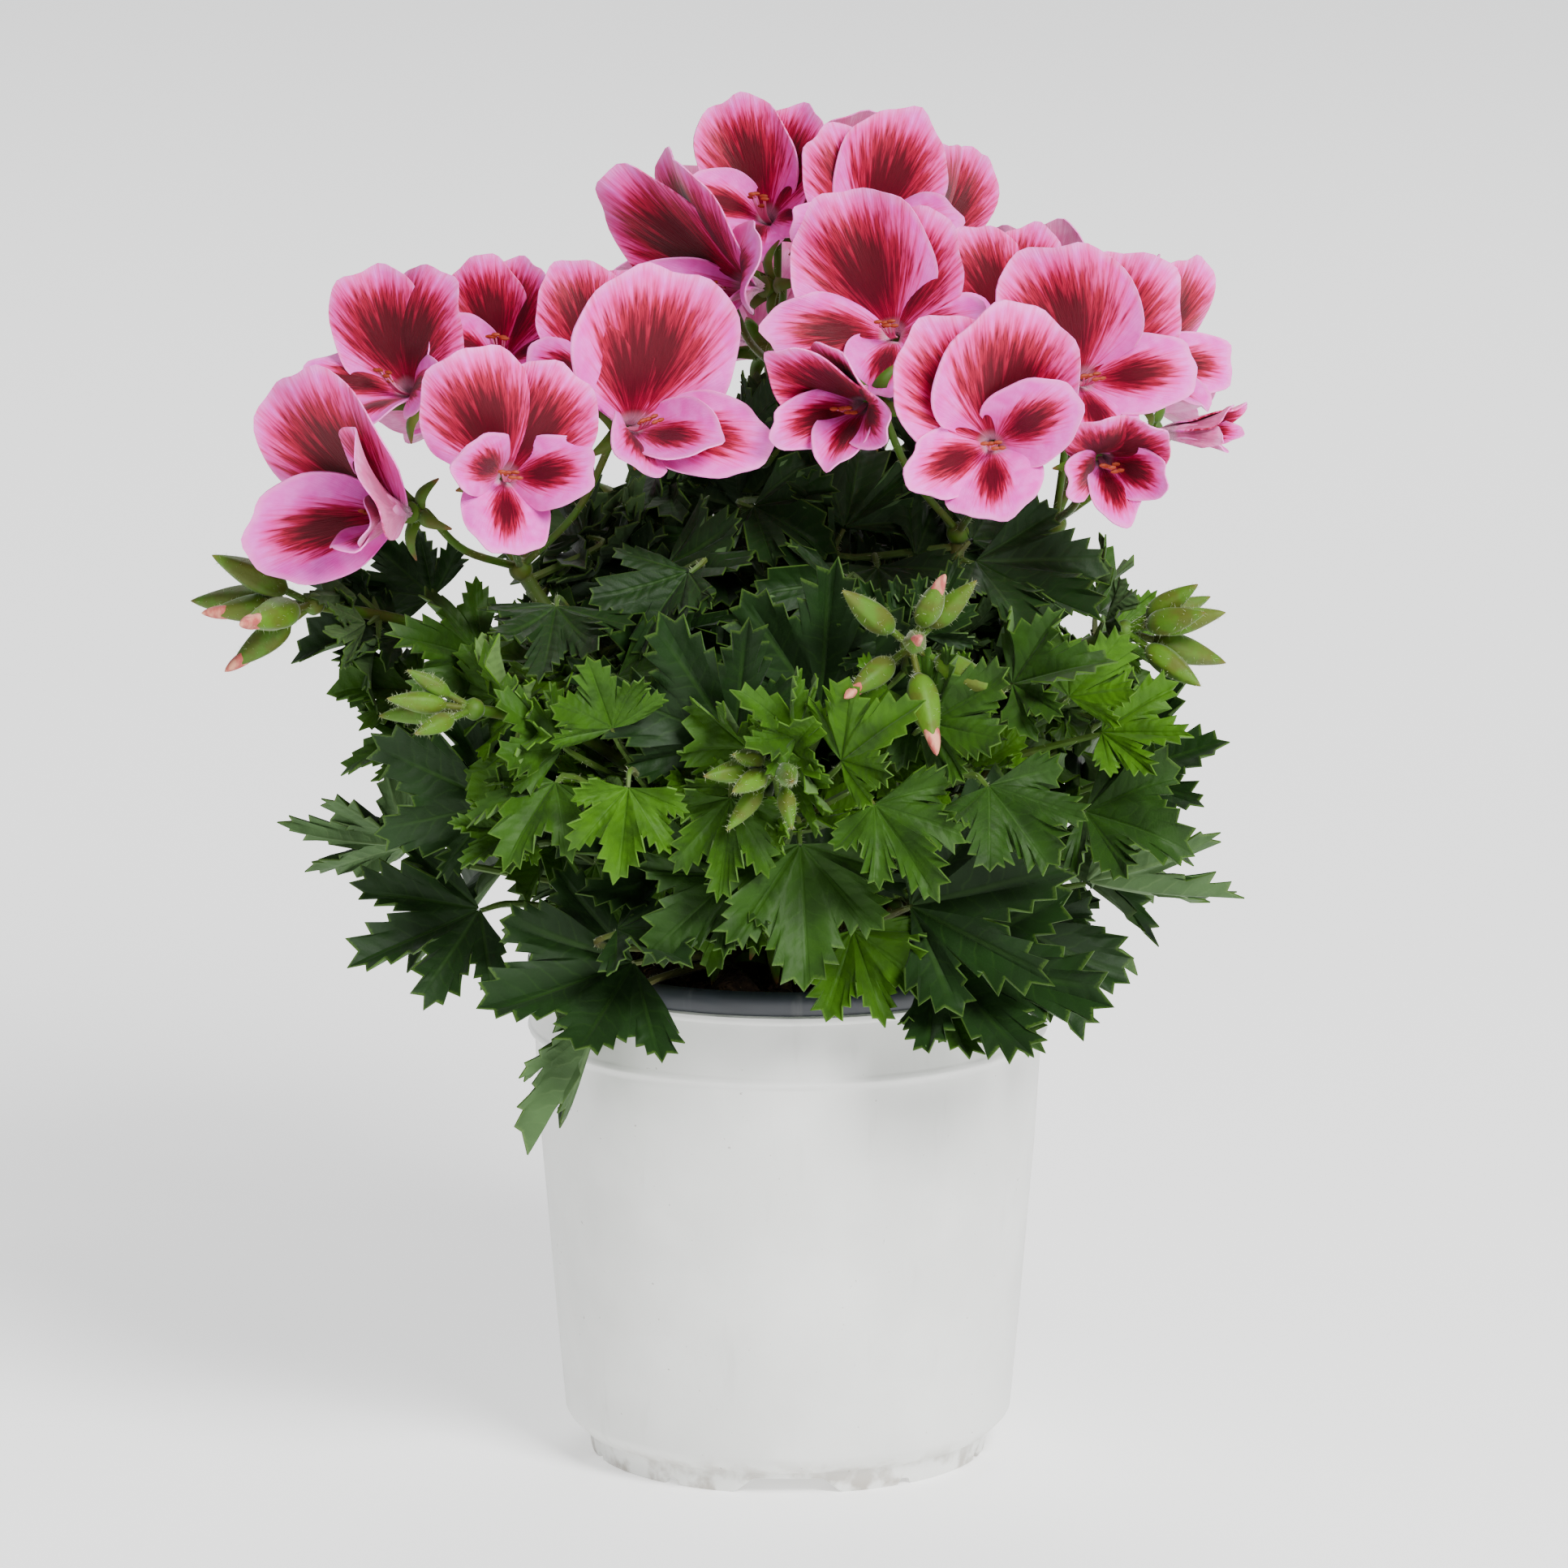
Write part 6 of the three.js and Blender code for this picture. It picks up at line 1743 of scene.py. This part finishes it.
def turned(profile, azimuth):
    """A closed body from a profile that starts and ends close to the axis, turned to some azimuths."""
    columns = len(azimuth)
    radius, z = (np.array(profile, float)[:, i : i + 1] for i in (0, 1))
    points = radius[..., None] * outward(azimuth)[None] + z[..., None] * UP
    faces = grid_faces(len(profile), columns, around=True)
    kind = np.repeat(np.array([row[2] for row in profile[:-1]]), columns)
    last = (len(profile) - 1) * columns
    bottom, inside = np.arange(columns)[None, ::-1], last + np.arange(columns)[None]
    return points, [(faces[kind == 0], 0), (faces[kind == 1], 1), (bottom, 0), (inside, 1)]


corners = [place + off for place in ROUND_NOTCHES for off in ROUND_CORNERS]
corners += [place + off for place in WIDE_NOTCHES for off in WIDE_CORNERS]
even = np.arange(POT_COLUMNS) / POT_COLUMNS * 360
azimuth = np.unique(np.round(np.concatenate([even, np.array(corners) % 360]), 2))
points, faces = turned(POT_PROFILE, azimuth)
radius = np.linalg.norm(points[..., :2], axis=-1)
on_foot = (radius > FOOT_RADIUS - 1.7) & (radius < FOOT_RADIUS + 0.7) & (points[..., 2] < WIDE_DEPTH)
lifted = notch_height(np.broadcast_to(azimuth, radius.shape), radius)
points[..., 2] = np.where(on_foot, np.maximum(points[..., 2], lifted), points[..., 2])
make_piece("pot_fine", [part(points, faces)], pot_looks, ["pot"])

# %% [markdown]
# Potting compost is dark peat with crumbs, a few fibres and pale bits. A height field gives its surface,
# highest in the middle, and loose crumbs and fibres lie on it.

# %% Compost material


def compost_material():
    """Dark brown lumps with pale bits, and paler where the tint of a crumb or a fibre is high."""
    g = Graph("compost", Specular_IOR_Level=0.2, Roughness=0.95)
    coords = g.object_place()
    lumps = g.noise(coords, 300.0, 6)
    bits = g.noise(coords, 900.0, 3)
    tint = g.attribute("tint")
    base = g.mix(g.smooth(lumps, 0.35, 0.7), colour(30, 22, 17), colour(74, 56, 42))
    base = g.lay(base, g.smooth(bits, 0.68, 0.76), 0.6, (132, 108, 78))
    base = g.lay(base, g.smooth(tint, 0.6, 1.0), 0.7, (146, 118, 84))
    return g.finish(base, None, lumps, 0.8, 0.002)


compost_look = compost_material()
print("material:", compost_look.name)

# %% [markdown]
# The compost's top is uneven at every scale, from heaps to grains. A sum of waves in random directions, the
# shorter the lower, gives such ground, and the same formula tells crumbs and fibres how high they lie.
# Below, the compost is a plug with the pot's inner form, so nothing is hollow when the pot is looked at
# from above.

# %% The compost's surface
SOIL_EDGE = 121
SOIL_SEED = 7
SOIL_REACH = 60.2
SOIL_ROWS, SOIL_COLUMNS = 60, 150

soil = np.random.default_rng(SOIL_SEED)
soil_waves = []
for frequency in np.geomspace(0.06, 0.9, 26):
    soil_waves.append((soil.normal(0, 1, 2) * frequency, soil.random() * 6.28, 1.6 / frequency**0.9))


def soil_height(x, y):
    """The surface's height over its dome: many waves, the shorter the lower."""
    r = np.hypot(x, y)
    z = SOIL_CENTRE + (SOIL_EDGE - SOIL_CENTRE) * (r / RIM_RADIUS) ** 2
    bumps = sum(a * np.sin(k[0] * x + k[1] * y + p) for k, p, a in soil_waves)
    return z + 0.13 * bumps * np.clip((62 - r) / 8, 0, 1) - 0.4


soil_radii = np.concatenate([np.linspace(0.4, SOIL_REACH, SOIL_ROWS), [60.3, 52.6, 48, 0.4]])
angle = np.arange(SOIL_COLUMNS) / SOIL_COLUMNS * 360
xy = soil_radii[:, None, None] * outward(angle)[None, :, :2]
z = soil_height(xy[..., 0], xy[..., 1])
z[-3], z[-2], z[-1] = 12.6, FLOOR_TOP + CLEARANCE, FLOOR_TOP + CLEARANCE
points = np.concatenate([xy, z[..., None]], axis=-1)
faces = grid_faces(len(soil_radii), len(angle), around=True)[:, ::-1]
last = (len(soil_radii) - 1) * len(angle)
ends = np.stack([np.arange(len(angle)), last + np.arange(len(angle))[::-1]])
ground = part(points, [(faces, 0), (ends, 0)], tint=0.0)
print("compost: from", z[:SOIL_ROWS].min().round(1), "to", z[:SOIL_ROWS].max().round(1), "mm high at its top")

# %% [markdown]
# Peat lies in loose crumbs, and among them are pale fibres. Crumbs are prisms with random corners, made all
# at once. Fibres are thin tubes that bend by chance and follow the ground. A particle system could strew
# them, but each would be an object of its own.

# %% Crumbs and fibres
CRUMBS = 1300
FIBRES = 70
FIBRE_STEPS = 8
CRUMB_REACH = 59  # crumbs and fibres keep inside the pot's wall


def crumbs(count, random):
    """Small lumps, each of three rings of six points with random radii, on random places of the surface."""
    r = CRUMB_REACH * np.sqrt(random.random(count))
    azimuth = random.random(count) * 360
    centre = outward(azimuth) * r[:, None]
    size = 0.35 + 1.1 * random.random(count) ** 3
    centre[:, 2] = soil_height(centre[:, 0], centre[:, 1]) + 0.2 * size
    around = np.arange(6) / 6 * 2 * np.pi
    levels = np.array([-0.8, 0, 0.8])
    spread = np.array([0.6, 1.0, 0.55])
    ring = np.stack([np.cos(around), np.sin(around)], axis=-1)
    level = np.broadcast_to(levels[:, None, None], (3, 6, 1))
    shape = np.concatenate([spread[:, None, None] * ring, level], axis=-1)
    shape = shape[None] * (0.7 + 0.6 * random.random((count, 3, 6, 1))) * size[:, None, None, None]
    points = (centre[:, None, None] + shape).reshape(-1, 3)
    one = grid_faces(3, 6, around=True)
    caps = np.stack([np.arange(6)[::-1], 12 + np.arange(6)])
    offset = (np.arange(count) * 18)[:, None, None]
    faces = [((one[None] + offset).reshape(-1, 4), 0), ((caps[None] + offset).reshape(-1, 6), 0)]
    return part(points, faces, tint=np.repeat(random.random(count) ** 4, 18))


fibres = []
for i in range(FIBRES):
    r, azimuth, heading = 56 * math.sqrt(soil.random()), soil.random() * 360, soil.random() * 2 * np.pi
    start = outward(azimuth) * r
    along = np.linspace(0, 4 + 9 * soil.random(), FIBRE_STEPS)
    bend = heading + np.linspace(0, 2 * (soil.random() - 0.5), FIBRE_STEPS)
    xy = start[:2] + along[:, None] * np.stack([np.cos(bend), np.sin(bend)], axis=-1)
    xy *= np.minimum(1, CRUMB_REACH / np.maximum(np.hypot(xy[:, 0], xy[:, 1]), 1e-6))[:, None]
    line = np.concatenate([xy, (soil_height(xy[:, 0], xy[:, 1]) + 0.35)[:, None]], axis=-1)
    fibres.append(rings(line, np.linspace(0.28, 0.12, FIBRE_STEPS), 5, tint=soil.random()))
make_piece("compost_fine", [ground, crumbs(CRUMBS, soil)] + fibres, [compost_look], ["compost"])

# %% [markdown]
# The object stands on a plain pale floor in the light of a studio: a large soft lamp high on the right, a
# weaker one on the left, one behind, and a bright surround. A picture of a real room could light it too,
# but with lamps each shadow can be set against the photograph.

# %% Floor and light
FLOOR_REACH = 6.0  # metres, as for the lamps
LAMP_AIM = np.array([0, 0, 0.17])  # the middle of the plant

floor_mesh = bpy.data.meshes.new("floor")
floor_corners = [(FLOOR_REACH * x, FLOOR_REACH * y, 0) for x, y in ((-1, -1), (1, -1), (1, 1), (-1, 1))]
floor_mesh.from_pydata(floor_corners, [], [(0, 1, 2, 3)])
floor = bpy.data.objects.new("floor", floor_mesh)
bpy.context.scene.collection.objects.link(floor)
floor_look = Graph("floor", Roughness=0.9, Emission_Color=(1, 1, 1, 1), Emission_Strength=0.6)
floor_mesh.materials.append(floor_look.finish(colour(250, 250, 249)))


def lamp(name, place, size, power):
    """A square lamp, its size in metres and its power in watts, turned to the plant's middle."""
    light = bpy.data.lights.new(name, "AREA")
    light.size = size
    light.energy = power
    thing = bpy.data.objects.new(name, light)
    thing.location = place
    aim = LAMP_AIM - np.array(place)
    thing.rotation_euler = (
        math.acos(-aim[2] / np.linalg.norm(aim)),
        0,
        math.atan2(aim[1], aim[0]) - math.pi / 2,
    )
    bpy.context.scene.collection.objects.link(thing)


lamp("key", (0.85, -1.5, 1.5), 0.8, 86)
lamp("fill", (-1.5, -1.1, 1.2), 1.2, 4)
lamp("back", (0.2, 1.4, 1.5), 1.2, 22)
world = bpy.data.worlds.new("studio")
world.use_nodes = True
world.node_tree.nodes["Background"].inputs["Color"].default_value = (0.95, 0.97, 1, 1)
world.node_tree.nodes["Background"].inputs["Strength"].default_value = 0.4
bpy.context.scene.world = world
print("light: lamps", [light.name for light in bpy.data.lights], "and the surround")

# %% [markdown]
# Last, the triangles of all pieces are counted.

# %% Count the triangles
print("triangles:", sum(made.values()), "in all, most in one piece", max(made.values()))
